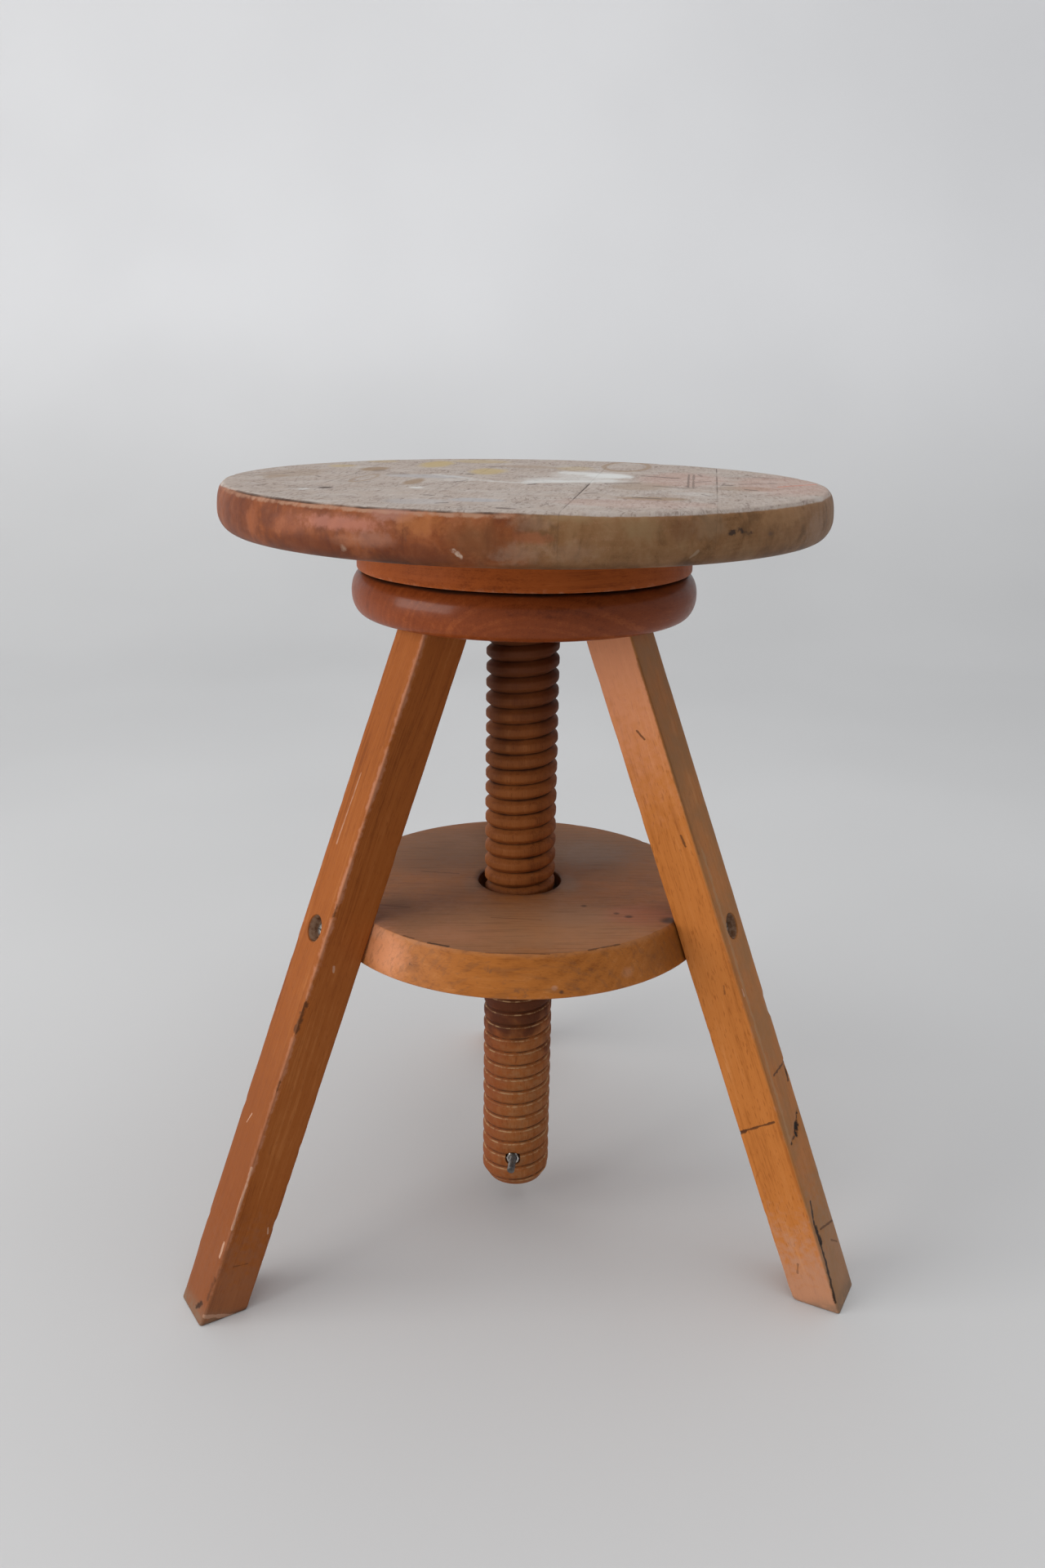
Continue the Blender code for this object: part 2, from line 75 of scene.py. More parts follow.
seat_low, seat_high = node_size(*BOARDS)
SEAT_TOP, SEAT_BOTTOM = seat_high.z, seat_low.z
SEAT_RADIUS = (seat_high.x - seat_low.x) / 2
flange_low, flange_high = node_size("seat_flange")
FLANGE_TOP, FLANGE_BOTTOM = flange_high.z, flange_low.z
FLANGE_RADIUS = (flange_high.x - flange_low.x) / 2
hub_low, hub_high = node_size("hub")
HUB_TOP, HUB_BOTTOM = hub_high.z, hub_low.z
HUB_RADIUS = (hub_high.x - hub_low.x) / 2
disc_low, disc_high = node_size("lower_disc")
DISC_TOP, DISC_BOTTOM = disc_high.z, disc_low.z
spindle_low, spindle_high = node_size("screw_spindle")
SPINDLE_BOTTOM, SPINDLE_TENON_TOP = spindle_low.z, spindle_high.z
rear_low, rear_high = node_size("leg_rear")
LEG_TENON_TOP = rear_high.z
LEG_WIDTH = rear_high.x - rear_low.x
LEG_FOOT_REACH = rear_high.y - AXIS.y

# ------------------------------------------------------------------ sizes repeated from the CAD
GAP = 0.3 * MM
SEAT_ARRIS_RADIUS = 176.4 * MM
SEAT_FOOT_RADIUS = 170.5 * MM
SEAT_BELLY_Z = SEAT_BOTTOM + 12.0 * MM
BOARD_WIDTH = 73.5 * MM
BOARD_SHIFT = 2.25 * MM
GRAIN_TURN = math.radians(-10.5)
HUB_FACE_RADIUS = 96.5 * MM
HUB_BELLY_Z = 428.6 * MM
CREST_RADIUS = 22.85 * MM
THREAD_DEPTH = 3.4 * MM
THREAD_PLAY = 0.8 * MM
CREST_Z_AT_X = 385.0 * MM
SPINDLE_TOP = FLANGE_BOTTOM - GAP
SPINDLE_END_RADIUS = 18.5 * MM
SPINDLE_END_CHAMFER = 7.0 * MM
SPINDLE_TENON_RADIUS = 17.5 * MM
LEG_AZIMUTHS = {"left": 210.0, "right": 330.0, "rear": 90.0}
LEG_SPLAY = math.radians(21.1)
LEG_DEPTH = 28.8 * MM
LEG_TENON_RADIUS = 10.0 * MM
DISC_TOP_RADIUS = 114.6 * MM
DISC_BOTTOM_RADIUS = 122.5 * MM
DISC_HOLE_RADIUS = 26.85 * MM
LEG_SCREW_Z = 236.7 * MM
LEG_SCREW_SINK = 7.0 * MM
LEG_SCREW_BORE_RADIUS = 8.0 * MM
LEG_SCREW_LENGTH = 45.0 * MM
SEAT_SCREW_CIRCLE = 75.0 * MM
SEAT_SCREW_LENGTH = 35.0 * MM
SHANK_RADIUS = 2.5 * MM
STOP_Z = 41.5 * MM
STOP_TURN = math.radians(-97.7)
STOP_RADIUS = 2.5 * MM
STOP_END = 36.0 * MM
STOP_SEAT = 17.8 * MM
STOP_NUT_HEIGHT = 4.0 * MM
STOP_HEAD_HEIGHT = 3.5 * MM
STOP_HEX_APOTHEM = 4.0 * MM
STOP_POCKET_RADIUS = 5.2 * MM

ROUND_SEGMENTS = 240
THREAD_SEGMENTS = 96
THREAD_ROWS = 14
THREAD_WORN_BELOW = 195 * MM  # never reaches the hub, and is choked with old finish
GLUE_LINE = 0.02 * MM  # half the gap between two boards
OPEN_JOINT = 2  # the joint that has begun to open, to the right of this board
JOINT_GRIME = ((0.5, 0.2), (0.4, 0.15), (1.0, 0.15), (0.75, 0.75))  # front and back of each joint


# ------------------------------------------------------------------ small mathematics
def clamp(value, low=0.0, high=1.0):
    return max(low, min(high, value))


def smooth(value, low, high):
    """Smooth step: 0 at low, 1 at high."""
    t = clamp((value - low) / (high - low))
    return t * t * (3 - 2 * t)


def wander(point, size, seed=0.0):
    """Deterministic noise between about -1 and 1, with features of that size in metres."""
    return noise.noise(Vector((point[0] / size + seed, point[1] / size - 1.7 * seed, point[2] / size + 3.1)))


def quarter(radius, centre_z, bulge, rise, steps, start, stop):
    """Points on a quarter ellipse, from angle start to stop in degrees, in a (radius, z) profile."""
    points = []
    for i in range(steps + 1):
        angle = math.radians(start + (stop - start) * i / steps)
        points.append((radius + bulge * math.cos(angle), centre_z + rise * math.sin(angle)))
    return points


def resampled(profile, step):
    """The same profile with its long sides divided."""
    points = [profile[0]]
    for a, b in zip(profile, profile[1:]):
        count = max(1, round(math.dist(a, b) / step))
        points += [tuple(a[k] + (b[k] - a[k]) * i / count for k in range(2)) for i in range(1, count + 1)]
    return points


# ------------------------------------------------------------------ meshes
def finish_mesh(name, bm, matrix=None, sharp=35.0):
    """Welds, faces outwards, shades smooth apart from sharp edges, and makes the object."""
    bmesh.ops.remove_doubles(bm, verts=bm.verts, dist=1e-7)
    bmesh.ops.dissolve_degenerate(bm, edges=bm.edges, dist=1e-8)
    bmesh.ops.recalc_face_normals(bm, faces=bm.faces)
    mesh = bpy.data.meshes.new(name)
    bm.to_mesh(mesh)
    bm.free()
    mesh.shade_smooth()
    mesh.set_sharp_from_angle(angle=math.radians(sharp))
    obj = bpy.data.objects.new(name, mesh)
    bpy.context.scene.collection.objects.link(obj)
    obj.matrix_world = matrix if matrix else Matrix.Translation(AXIS)
    return obj


def skin(rings, close_rows=False, caps=True):
    """A closed surface through rings of points, each joined to the next."""
    bm = bmesh.new()
    rows = [[bm.verts.new(point) for point in ring] for ring in rings]
    count = len(rows[0])
    pairs = list(zip(rows, rows[1:]))
    if close_rows:
        pairs.append((rows[-1], rows[0]))
    for a, b in pairs:
        for j in range(count):
            k = (j + 1) % count
            bm.faces.new((a[j], a[k], b[k], b[j]))
    if caps and not close_rows:
        bm.faces.new(rows[0][::-1])
        bm.faces.new(rows[-1])
    return bm


def lathe(profile, segments, shape=None, close_rows=False):
    """Rings about Z from (radius, z) points. shape(radius, angle, z) may change both."""
    rings = []
    for radius, z in profile:
        ring = []
        for i in range(segments):
            angle = math.tau * i / segments
            r, height = shape(radius, angle, z) if shape else (radius, z)
            ring.append((r * math.cos(angle), r * math.sin(angle), height))
        rings.append(ring)
    return skin(rings, close_rows)


def applied(obj):
    """Applies the object's modifiers."""
    bpy.context.view_layer.update()
    graph = bpy.context.evaluated_depsgraph_get()
    mesh = bpy.data.meshes.new_from_object(obj.evaluated_get(graph))
    mesh.name = obj.name
    obj.modifiers.clear()
    obj.data = mesh
    return obj


def carve(obj, cutters, operation="DIFFERENCE", sharp=35.0):
    """Booleans the cutters into obj, and removes them."""
    for cutter in cutters:
        modifier = obj.modifiers.new("carve", "BOOLEAN")
        modifier.operation = operation
        modifier.solver = "EXACT"
        modifier.object = cutter
    applied(obj)
    for cutter in cutters:
        bpy.data.objects.remove(cutter)
    obj.data.shade_smooth()
    obj.data.set_sharp_from_angle(angle=math.radians(sharp))
    return obj


def paint(obj, name, rule):
    """A number for every vertex, from its place in the object's own frame."""
    layer = obj.data.attributes.new(name, "FLOAT", "POINT")
    layer.data.foreach_set("value", [rule(v.co) for v in obj.data.vertices])


# ------------------------------------------------------------------ the screw thread
def lobe(share):
    """Depth of the thread below its crest, 0 to 1, at a share of half a pitch: broad crest, V root."""
    share = abs(share)
    flat, straight = 0.26, 0.58
    slope = 1.0 / ((straight - flat) / 2 + 1.0 - straight)
    if share < flat:
        return 0.0
    if share < straight:
        return slope * (share - flat) ** 2 / (2 * (straight - flat))
    return slope * (share - straight + (straight - flat) / 2)


def thread_share(angle, z, pitch=PITCH, start=CREST_Z_AT_X):
    """Where a point lies on the thread: 0 on the crest, 1 in the root above it, -1 in the root below."""
    turn = (z - start) / pitch - angle / math.tau
    return 2 * (turn - round(turn))


def thread_radius(angle, z, crest=CREST_RADIUS, depth=THREAD_DEPTH, pitch=PITCH, start=CREST_Z_AT_X):
    return crest - depth * lobe(thread_share(angle, z, pitch, start))


def helix_skin(low, high, limit):
    """The spindle's thread: rows follow the helix, and both ends are cut square."""
    bm = bmesh.new()
    first = math.floor((low - CREST_Z_AT_X) / PITCH) - 1
    last = math.ceil((high - CREST_Z_AT_X) / PITCH) + 1
    columns = []
    for i in range(THREAD_SEGMENTS):
        turn = i / THREAD_SEGMENTS
        angle = math.tau * turn
        column = []
        for k in range((last - first) * THREAD_ROWS + 1):
            z = clamp(CREST_Z_AT_X + PITCH * (first + k / THREAD_ROWS + turn), low, high)
            around = (math.cos(angle) * CREST_RADIUS, math.sin(angle) * CREST_RADIUS, z)
            worn = 0.22 * MM * (wander(around, 7 * MM) + 0.6 * wander(around, 19 * MM, 5.0) - 0.6)
            filled = smooth(z, THREAD_WORN_BELOW + 20 * MM, THREAD_WORN_BELOW)
            fall = lobe(thread_share(angle, z)) ** (1 + 0.4 * filled) * (1 - 0.36 * filled)
            radius = min(CREST_RADIUS - THREAD_DEPTH * fall + worn, limit(z))
            column.append(bm.verts.new((radius * math.cos(angle), radius * math.sin(angle), z)))
        columns.append(column)
    for i, column in enumerate(columns):
        closing = i == THREAD_SEGMENTS - 1
        beside = columns[0][THREAD_ROWS:] if closing else columns[i + 1]
        for j in range(min(len(column), len(beside)) - 1):
            bm.faces.new((column[j], beside[j], beside[j + 1], column[j + 1]))
    bmesh.ops.remove_doubles(bm, verts=bm.verts, dist=1e-7)
    bmesh.ops.dissolve_degenerate(bm, edges=bm.edges, dist=1e-8)
    return bm


def open_loop(bm, z):
    """The vertices of the open edge at height z, in order round the axis."""
    rim = {v for e in bm.edges if e.is_boundary for v in e.verts if abs(v.co.z - z) < 1e-6}
    return sorted(rim, key=lambda v: math.atan2(v.co.y, v.co.x))


def close_end(bm, z, rings):
    """Closes the open end at z with rings of (radius, z), then a flat face."""
    loop = open_loop(bm, z)
    for radius, height in rings:
        ring = []
        for v in loop:
            angle = math.atan2(v.co.y, v.co.x)
            ring.append(bm.verts.new((radius * math.cos(angle), radius * math.sin(angle), height)))
        for j in range(len(loop)):
            k = (j + 1) % len(loop)
            bm.faces.new((loop[j], loop[k], ring[k], ring[j]))
        loop = ring
    bm.faces.new(loop)


# ------------------------------------------------------------------ frames
def leg_radius(z):
    """Distance of a leg's centre line from the axis at height z."""
    return LEG_FOOT_REACH - LEG_DEPTH / math.cos(LEG_SPLAY) / 2 - z * math.tan(LEG_SPLAY)


def up_leg(z):
    return z / math.cos(LEG_SPLAY)


def leg_frame(azimuth):
    """Local Z up a leg's centre line from the floor, local X out of its outer face."""
    out = Matrix.Translation((leg_radius(0.0), 0, 0))
    lean = Matrix.Rotation(-LEG_SPLAY, 4, "Y")
    return Matrix.Translation(AXIS) @ Matrix.Rotation(math.radians(azimuth), 4, "Z") @ out @ lean


def screw_height():
    """A leg screw's place along the leg."""
    return up_leg(LEG_SCREW_Z - LEG_DEPTH / 2 * math.sin(LEG_SPLAY))


def leg_screw_frame(azimuth, sink):
    place = Matrix.Translation((LEG_DEPTH / 2 - sink, 0, screw_height()))
    return leg_frame(azimuth) @ place @ Matrix.Rotation(math.pi / 2, 4, "Y")


def stop_frame():
    """Local Z along the stop bolt, towards its free end."""
    turn = Matrix.Rotation(STOP_TURN, 4, "Z") @ Matrix.Rotation(math.pi / 2, 4, "Y")
    return Matrix.Translation(AXIS + Vector((0, 0, STOP_Z))) @ turn


# ------------------------------------------------------------------ material kit
class Graph:
    """A material's nodes. Values given to it may be numbers, tuples or another node's socket."""

    def __init__(self, name):
        self.material = bpy.data.materials.new(name)
        self.material.use_nodes = True
        self.tree = self.material.node_tree
        self.shader = self.tree.nodes["Principled BSDF"]

    def feed(self, socket, value):
        if isinstance(value, bpy.types.NodeSocket):
            self.tree.links.new(value, socket)
        elif value is not None:
            socket.default_value = value

    def add(self, kind, inputs=(), **settings):
        made = self.tree.nodes.new("ShaderNode" + kind)
        for key, value in settings.items():
            setattr(made, key, value)
        for slot, value in dict(inputs).items():
            self.feed(made.inputs[slot], value)
        return made

    def math(self, operation, a, b=None, c=None, clamp=False):
        inputs = {i: v for i, v in enumerate((a, b, c)) if v is not None}
        return self.add("Math", inputs, operation=operation, use_clamp=clamp).outputs[0]

    def swayed(self, noise, amount, value):
        """A value moved up and down by a noise about its middle."""
        return self.math("MULTIPLY_ADD", self.math("SUBTRACT", noise, 0.5), amount, value)

    def times(self, *values):
        product = values[0]
        for value in values[1:]:
            product = self.math("MULTIPLY", product, value)
        return product

    def either(self, *values):
        """The strongest of some masks."""
        most = values[0]
        for value in values[1:]:
            most = self.math("MAXIMUM", most, value)
        return most

    def step(self, value, low, high, to_low=0.0, to_high=1.0):
        inputs = {0: value, 1: low, 2: high, 3: to_low, 4: to_high}
        return self.add("MapRange", inputs, interpolation_type="SMOOTHSTEP").outputs[0]

    def vector(self, operation, a, b=None, scale=None):
        inputs = {i: v for i, v in ((0, a), (1, b), ("Scale", scale)) if v is not None}
        made = self.add("VectorMath", inputs, operation=operation)
        number = operation in ("LENGTH", "DISTANCE", "DOT_PRODUCT")
        return made.outputs["Value" if number else "Vector"]

    def stretched(self, place, factors):
        return self.vector("MULTIPLY", place, factors)

    def noise(self, place, factors=(1, 1, 1), detail=2.0, roughness=0.5, distortion=0.0, colour=False):
        inputs = {
            "Vector": self.stretched(place, factors),
            "Scale": 1.0,
            "Detail": detail,
            "Roughness": roughness,
            "Distortion": distortion,
        }
        made = self.add("TexNoise", inputs)
        return made.outputs[1 if colour else 0]

    def mix(self, factor, a, b, blend="MIX"):
        made = self.add("Mix", {0: factor}, data_type="RGBA", blend_type=blend)
        for slot, value in ((6, a), (7, b)):
            self.feed(made.inputs[slot], value if isinstance(value, bpy.types.NodeSocket) else (*value, 1.0))
        return made.outputs[2]

    def attribute(self, name, output="Fac"):
        return self.add("Attribute", attribute_name=name).outputs[output]

    def stroke(self, place, start, end, width, rag, soft=0.5):
        """A mask, 1 on a line from start to end and 0 about a width away from it. Millimetres."""
        start, end = Vector(start) * MM, Vector(end) * MM
        along = end - start
        rel = self.vector("SUBTRACT", place, tuple(start))
        if along.length > 0:
            share = self.vector("DOT_PRODUCT", rel, tuple(along / along.length_squared))
            share = self.math("ADD", share, 0.0, clamp=True)
            near = self.vector("SCALE", tuple(along), scale=share)
            rel = self.vector("SUBTRACT", rel, near)
        distance = self.vector("LENGTH", rel)
        distance = self.swayed(rag, 2.2 * width * MM, distance)
        return self.step(distance, width * MM, width * (1 - soft) * MM, 0.0, 1.0)

    def patch(self, place, centre, size, rag, ragged=1.1, soft=0.55):
        """A mask, 1 inside a ragged ellipsoid of those half sizes in millimetres."""
        rel = self.vector("SUBTRACT", place, tuple(Vector(centre) * MM))
        rel = self.stretched(rel, tuple(1.0 / (d * MM) if d else 0.0 for d in size))
        distance = self.vector("LENGTH", rel)
        distance = self.swayed(rag, ragged, distance)
        return self.step(distance, 1.0 + soft, 1.0 - soft, 0.0, 1.0)

    def toned(self, value, colours):
        """The dark, middle and light of a wood, by its value from 0 to 1."""
        dark, middle, light = colours
        colour = self.mix(self.step(value, 0.1, 0.5), dark, middle)
        return self.mix(self.step(value, 0.5, 0.95), colour, light)

    def stained(self, colour, place, rag, stains, soft=0.55, ragged=1.1):
        """Lays soft patches over a colour: centre, half size, tone, strength."""
        for centre, size, tone, strength in stains:
            mask = self.patch(place, centre, size, rag, ragged, soft)
            colour = self.mix(self.times(mask, strength), colour, tone)
        return colour

    def scored(self, colour, place, rag, lines):
        """Lays broken lines over a colour: start, end, half width, tone, strength."""
        for start, end, width, tone, strength in lines:
            mask = self.stroke(place, start, end, width, rag)
            colour = self.mix(self.times(mask, strength), colour, tone)
        return colour


def wood_base(graph, place, look):
    """Rings, fibres, streaks and flecks. The grain runs along the place's Z. Returns colour and relief."""
    seed = look["seed"]
    moved = graph.vector("ADD", place, (0.37 * seed, 0.61 * seed, 0.23 * seed))
    bend = graph.noise(moved, (14, 14, 4), 2.0, colour=True)
    bend = graph.vector("SUBTRACT", bend, (0.5, 0.5, 0.5))
    bent = graph.vector("ADD", place, graph.stretched(bend, (0.014, 0.014, 0.0)))
    flat = graph.stretched(bent, (1, 1, 0))
    pith = look["pith"]
    radius = graph.vector("LENGTH", graph.vector("SUBTRACT", flat, (pith[0], pith[1], 0)))
    rings = graph.add(
        "TexNoise",
        {"W": graph.math("MULTIPLY_ADD", radius, look["rings"], seed * 7.3), "Scale": 1.0, "Detail": 1.5},
        noise_dimensions="1D",
    ).outputs[0]
    rings = graph.step(rings, 0.35, 0.68)
    bent = graph.vector("ADD", bent, (0.41 * seed, 0.53 * seed, 0.17 * seed))
    fibre = graph.noise(bent, (1500, 1500, 40), 3.0, 0.6)
    streak = graph.noise(bent, (300, 300, 9), 2.0, 0.55)
    broad = graph.noise(moved, (24, 24, 8), 2.0, 0.5)
    blotch = graph.noise(moved, (85, 85, 60), 3.0, 0.6)
    fleck = graph.noise(bent, (1100, 1100, 190), 1.0, 0.5)
    fleck = graph.step(fleck, 0.60, 0.72)
    value = graph.math("MULTIPLY_ADD", rings, look["ring"], 0.5 - look["ring"] / 2)
    layers = {"fibre": fibre, "streak": streak, "broad": broad, "blotch": blotch}
    for name, layer in layers.items():
        value = graph.swayed(layer, look[name], value)
    colour = graph.toned(value, look["colours"])
    colour = graph.mix(graph.times(fleck, look["fleck"]), colour, look["colours"][0])
    relief = graph.math("MULTIPLY_ADD", fibre, 0.6, graph.times(rings, 0.2))
    relief = graph.math("MULTIPLY_ADD", fleck, -0.25, relief)
    return {"colour": colour, "relief": relief, "value": value, "fleck": fleck}


LOOK = {
    "seed": 1.0,
    "pith": (0.05, -0.09),
    "rings": 420.0,
    "ring": 0.14,
    "fibre": 0.55,
    "streak": 0.45,
    "broad": 0.6,
    "blotch": 0.35,
    "fleck": 0.35,
    "colours": ((0.22, 0.062, 0.009), (0.40, 0.130, 0.022), (0.52, 0.20, 0.055)),
    "worn_colour": (0.47, 0.205, 0.115),
    "dirt_colour": (0.045, 0.018, 0.010),
    "roughness": 0.45,
    "specular": 0.14,
    "coat": 0.05,
    "coat_roughness": 0.35,
    "bump": 0.12,
    "dust": 0.0,
    "dust_colour": (0.30, 0.24, 0.19),
}


def wood(name, look, dress=None):
    """A varnished wood. Attributes wear and dirt thin the varnish and fill it with grime."""
    look = {**LOOK, **look}
    graph = Graph(name)
    place = graph.attribute("place", "Vector")
    base = wood_base(graph, graph.attribute("grain", "Vector"), look)
    colour = base["colour"]
    patchy = graph.noise(place, (230, 230, 230), 4.0, 0.62)
    cloudy = graph.noise(place, (48, 48, 48), 3.0, 0.55)
    wear = graph.attribute("wear")
    worn = graph.swayed(patchy, 1.6, wear)
    worn = graph.times(graph.step(worn, 0.30, 0.95), graph.step(wear, 0.0, 0.15))
    dirty = graph.attribute("dirt")
    grime = graph.swayed(cloudy, 1.0, dirty)
    grime = graph.times(graph.step(grime, 0.2, 0.95), graph.step(dirty, 0.0, 0.2))
    rough = graph.swayed(patchy, 0.25, look["roughness"])
    if look["dust"]:
        up = graph.add("SeparateXYZ", {0: graph.add("NewGeometry").outputs["Normal"]}).outputs[2]
        dust = graph.times(graph.step(up, 0.5, 0.97), graph.step(cloudy, 0.3, 0.7, 0.35, 1.0), look["dust"])
        colour = graph.mix(dust, colour, look["dust_colour"])
        rough = graph.math("MULTIPLY_ADD", dust, 0.3, rough)
    colour = graph.mix(graph.times(worn, 0.75), colour, look["worn_colour"])
    colour = graph.mix(grime, colour, look["dirt_colour"])
    rough = graph.math("MULTIPLY_ADD", worn, 0.2, rough)
    parts = {**base, "place": place, "worn": worn, "grime": grime, "patchy": patchy, "cloudy": cloudy}
    parts.update({"colour": colour, "roughness": rough, "look": look})
    parts["height"] = graph.math("MULTIPLY_ADD", cloudy, 0.5, base["relief"])
    if dress:
        dress(graph, parts)
    graph.feed(graph.shader.inputs["Base Color"], parts["colour"])
    graph.feed(graph.shader.inputs["Roughness"], graph.math("ADD", parts["roughness"], 0.0, clamp=True))
    inputs = {"Strength": look["bump"], "Distance": 0.6 * MM, "Height": parts["height"]}
    graph.feed(graph.shader.inputs["Normal"], graph.add("Bump", inputs).outputs[0])
    graph.shader.inputs["Specular IOR Level"].default_value = look["specular"]
    graph.shader.inputs["Coat Weight"].default_value = look["coat"]
    graph.shader.inputs["Coat Roughness"].default_value = look["coat_roughness"]
    return graph.material


def steel(name, tone, roughness, rust=0.4):
    """Dull zinc-plated or oily steel with turning marks, stains and a little rust."""
    graph = Graph(name)
    place = graph.attribute("place", "Vector")
    spots = graph.noise(place, (900, 900, 900), 4.0, 0.65)
    cloud = graph.noise(place, (260, 260, 260), 3.0, 0.6)
    scratch = graph.noise(place, (4200, 700, 4200), 2.0, 0.6)
    light = tuple(1.25 * c for c in tone)
    dark = tuple(0.55 * c for c in tone)
    colour = graph.mix(graph.step(cloud, 0.3, 0.7), dark, light)
    stained = graph.times(graph.step(spots, 0.5, 0.68), rust)
    colour = graph.mix(stained, colour, (0.13, 0.055, 0.025))
    graph.feed(graph.shader.inputs["Base Color"], colour)
    rough = graph.swayed(cloud, 0.4, roughness)
    rough = graph.math("MULTIPLY_ADD", stained, 0.4, rough)
    graph.feed(graph.shader.inputs["Roughness"], graph.math("ADD", rough, 0.0, clamp=True))
    metal = graph.math("MULTIPLY_ADD", stained, -0.8, 1.0)
    graph.feed(graph.shader.inputs["Metallic"], metal)
    height = graph.math("MULTIPLY_ADD", spots, 0.5, scratch)
    inputs = {"Strength": 0.25, "Distance": 0.1 * MM, "Height": height}
    graph.feed(graph.shader.inputs["Normal"], graph.add("Bump", inputs).outputs[0])
    return graph.material


ALONG_Z = Matrix.Identity(3)
ALONG_Y = Matrix(((1, 0, 0), (0, 0, 1), (0, 1, 0)))


def grain_along(degrees):
    """The grain runs level, in that direction from +X."""
    c, s = math.cos(math.radians(degrees)), math.sin(math.radians(degrees))
    return Matrix(((-s, c, 0), (0, 0, 1), (c, s, 0)))


def finish(obj, material, body, node, grain=ALONG_Z):
    """Stores each vertex's place in the piece's own frame and in the wood's, and hangs it on its body."""
    mesh = obj.data
    for name, turn in (("place", ALONG_Z), ("grain", grain)):
        layer = mesh.attributes.new(name, "FLOAT_VECTOR", "POINT")
        layer.data.foreach_set("vector", [c for v in mesh.vertices for c in turn @ v.co])
    mesh.transform(obj.matrix_world)
    obj.matrix_world = Matrix.Identity(4)
    mesh.materials.clear()
    mesh.materials.append(material)
    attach(obj, body)
    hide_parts(node)
    return obj


# ------------------------------------------------------------------ seat boards
def seat_rim():
    """(radius, z) down the seat's rim, from the top face's edge to the underside's."""
    soft = 1.7 * MM
    rim = quarter(SEAT_ARRIS_RADIUS - soft, SEAT_TOP - soft, soft + 0.2 * MM, soft, 5, 90, 18)
    rise = SEAT_TOP - SEAT_BELLY_Z - soft
    rim += quarter(SEAT_ARRIS_RADIUS, SEAT_BELLY_Z, SEAT_RADIUS - SEAT_ARRIS_RADIUS, rise, 10, 80, 0)
    fall = SEAT_BELLY_Z - SEAT_BOTTOM
    rim += quarter(SEAT_FOOT_RADIUS, SEAT_BELLY_Z, SEAT_RADIUS - SEAT_FOOT_RADIUS, fall, 10, 0, -90)[1:]
    return rim


def board_edges(index):
    centre = BOARD_SHIFT + (index - 2) * BOARD_WIDTH
    left = centre - BOARD_WIDTH / 2 + GLUE_LINE
    right = centre + BOARD_WIDTH / 2 - GLUE_LINE
    return left, right


def wear_seat(point, left, right, index):
    """Moves a point of a board inwards for hollows, nicks and rubbed joints."""
    x, y, z = point
    radius = math.hypot(x, y)
    top = smooth(z, SEAT_TOP - 1.5 * MM, SEAT_TOP - 0.5 * MM)
    edge = smooth(radius, SEAT_ARRIS_RADIUS - 6 * MM, SEAT_ARRIS_RADIUS - 1 * MM)
    drop = 0.10 * MM * (1 + wander(point, 60 * MM, index))
    drop += 0.05 * MM * (1 + wander(point, 14 * MM, 4 + index))
    drop *= top
    nick = smooth(wander((x, y, 0), 16 * MM, 2.0) + 0.4 * wander((x, y, 0), 5 * MM, 6.0), 0.42, 0.8)
    drop += top * edge * (0.12 * MM + 0.6 * MM * nick)
    for side, opened in ((left, index == OPEN_JOINT + 1), (right, index == OPEN_JOINT)):
        if abs(side) < SEAT_RADIUS - 1 * MM:
            split = smooth(y, -150 * MM, -70 * MM) * smooth(y, 4 * MM, -12 * MM) if opened else 0.0
            reach = (0.9 + 0.5 * split) * MM
            near = 1 - clamp(abs(x - side) / reach)
            drop += top * near * near * MM * (0.10 + 0.06 * wander((x, y, 0), 12 * MM, 9.0) + 0.35 * split)
    pull = 0.14 * MM * (1 + wander(point, 34 * MM, 7.0)) + 0.05 * MM * (1 + wander(point, 8 * MM, 3.0))
    pull += edge * top * nick * 0.5 * MM
    pull *= smooth(radius, SEAT_FOOT_RADIUS - 4 * MM, SEAT_FOOT_RADIUS)
    scale = 1 - pull / max(radius, 1 * MM)
    return (x * scale, y * scale, z - drop)


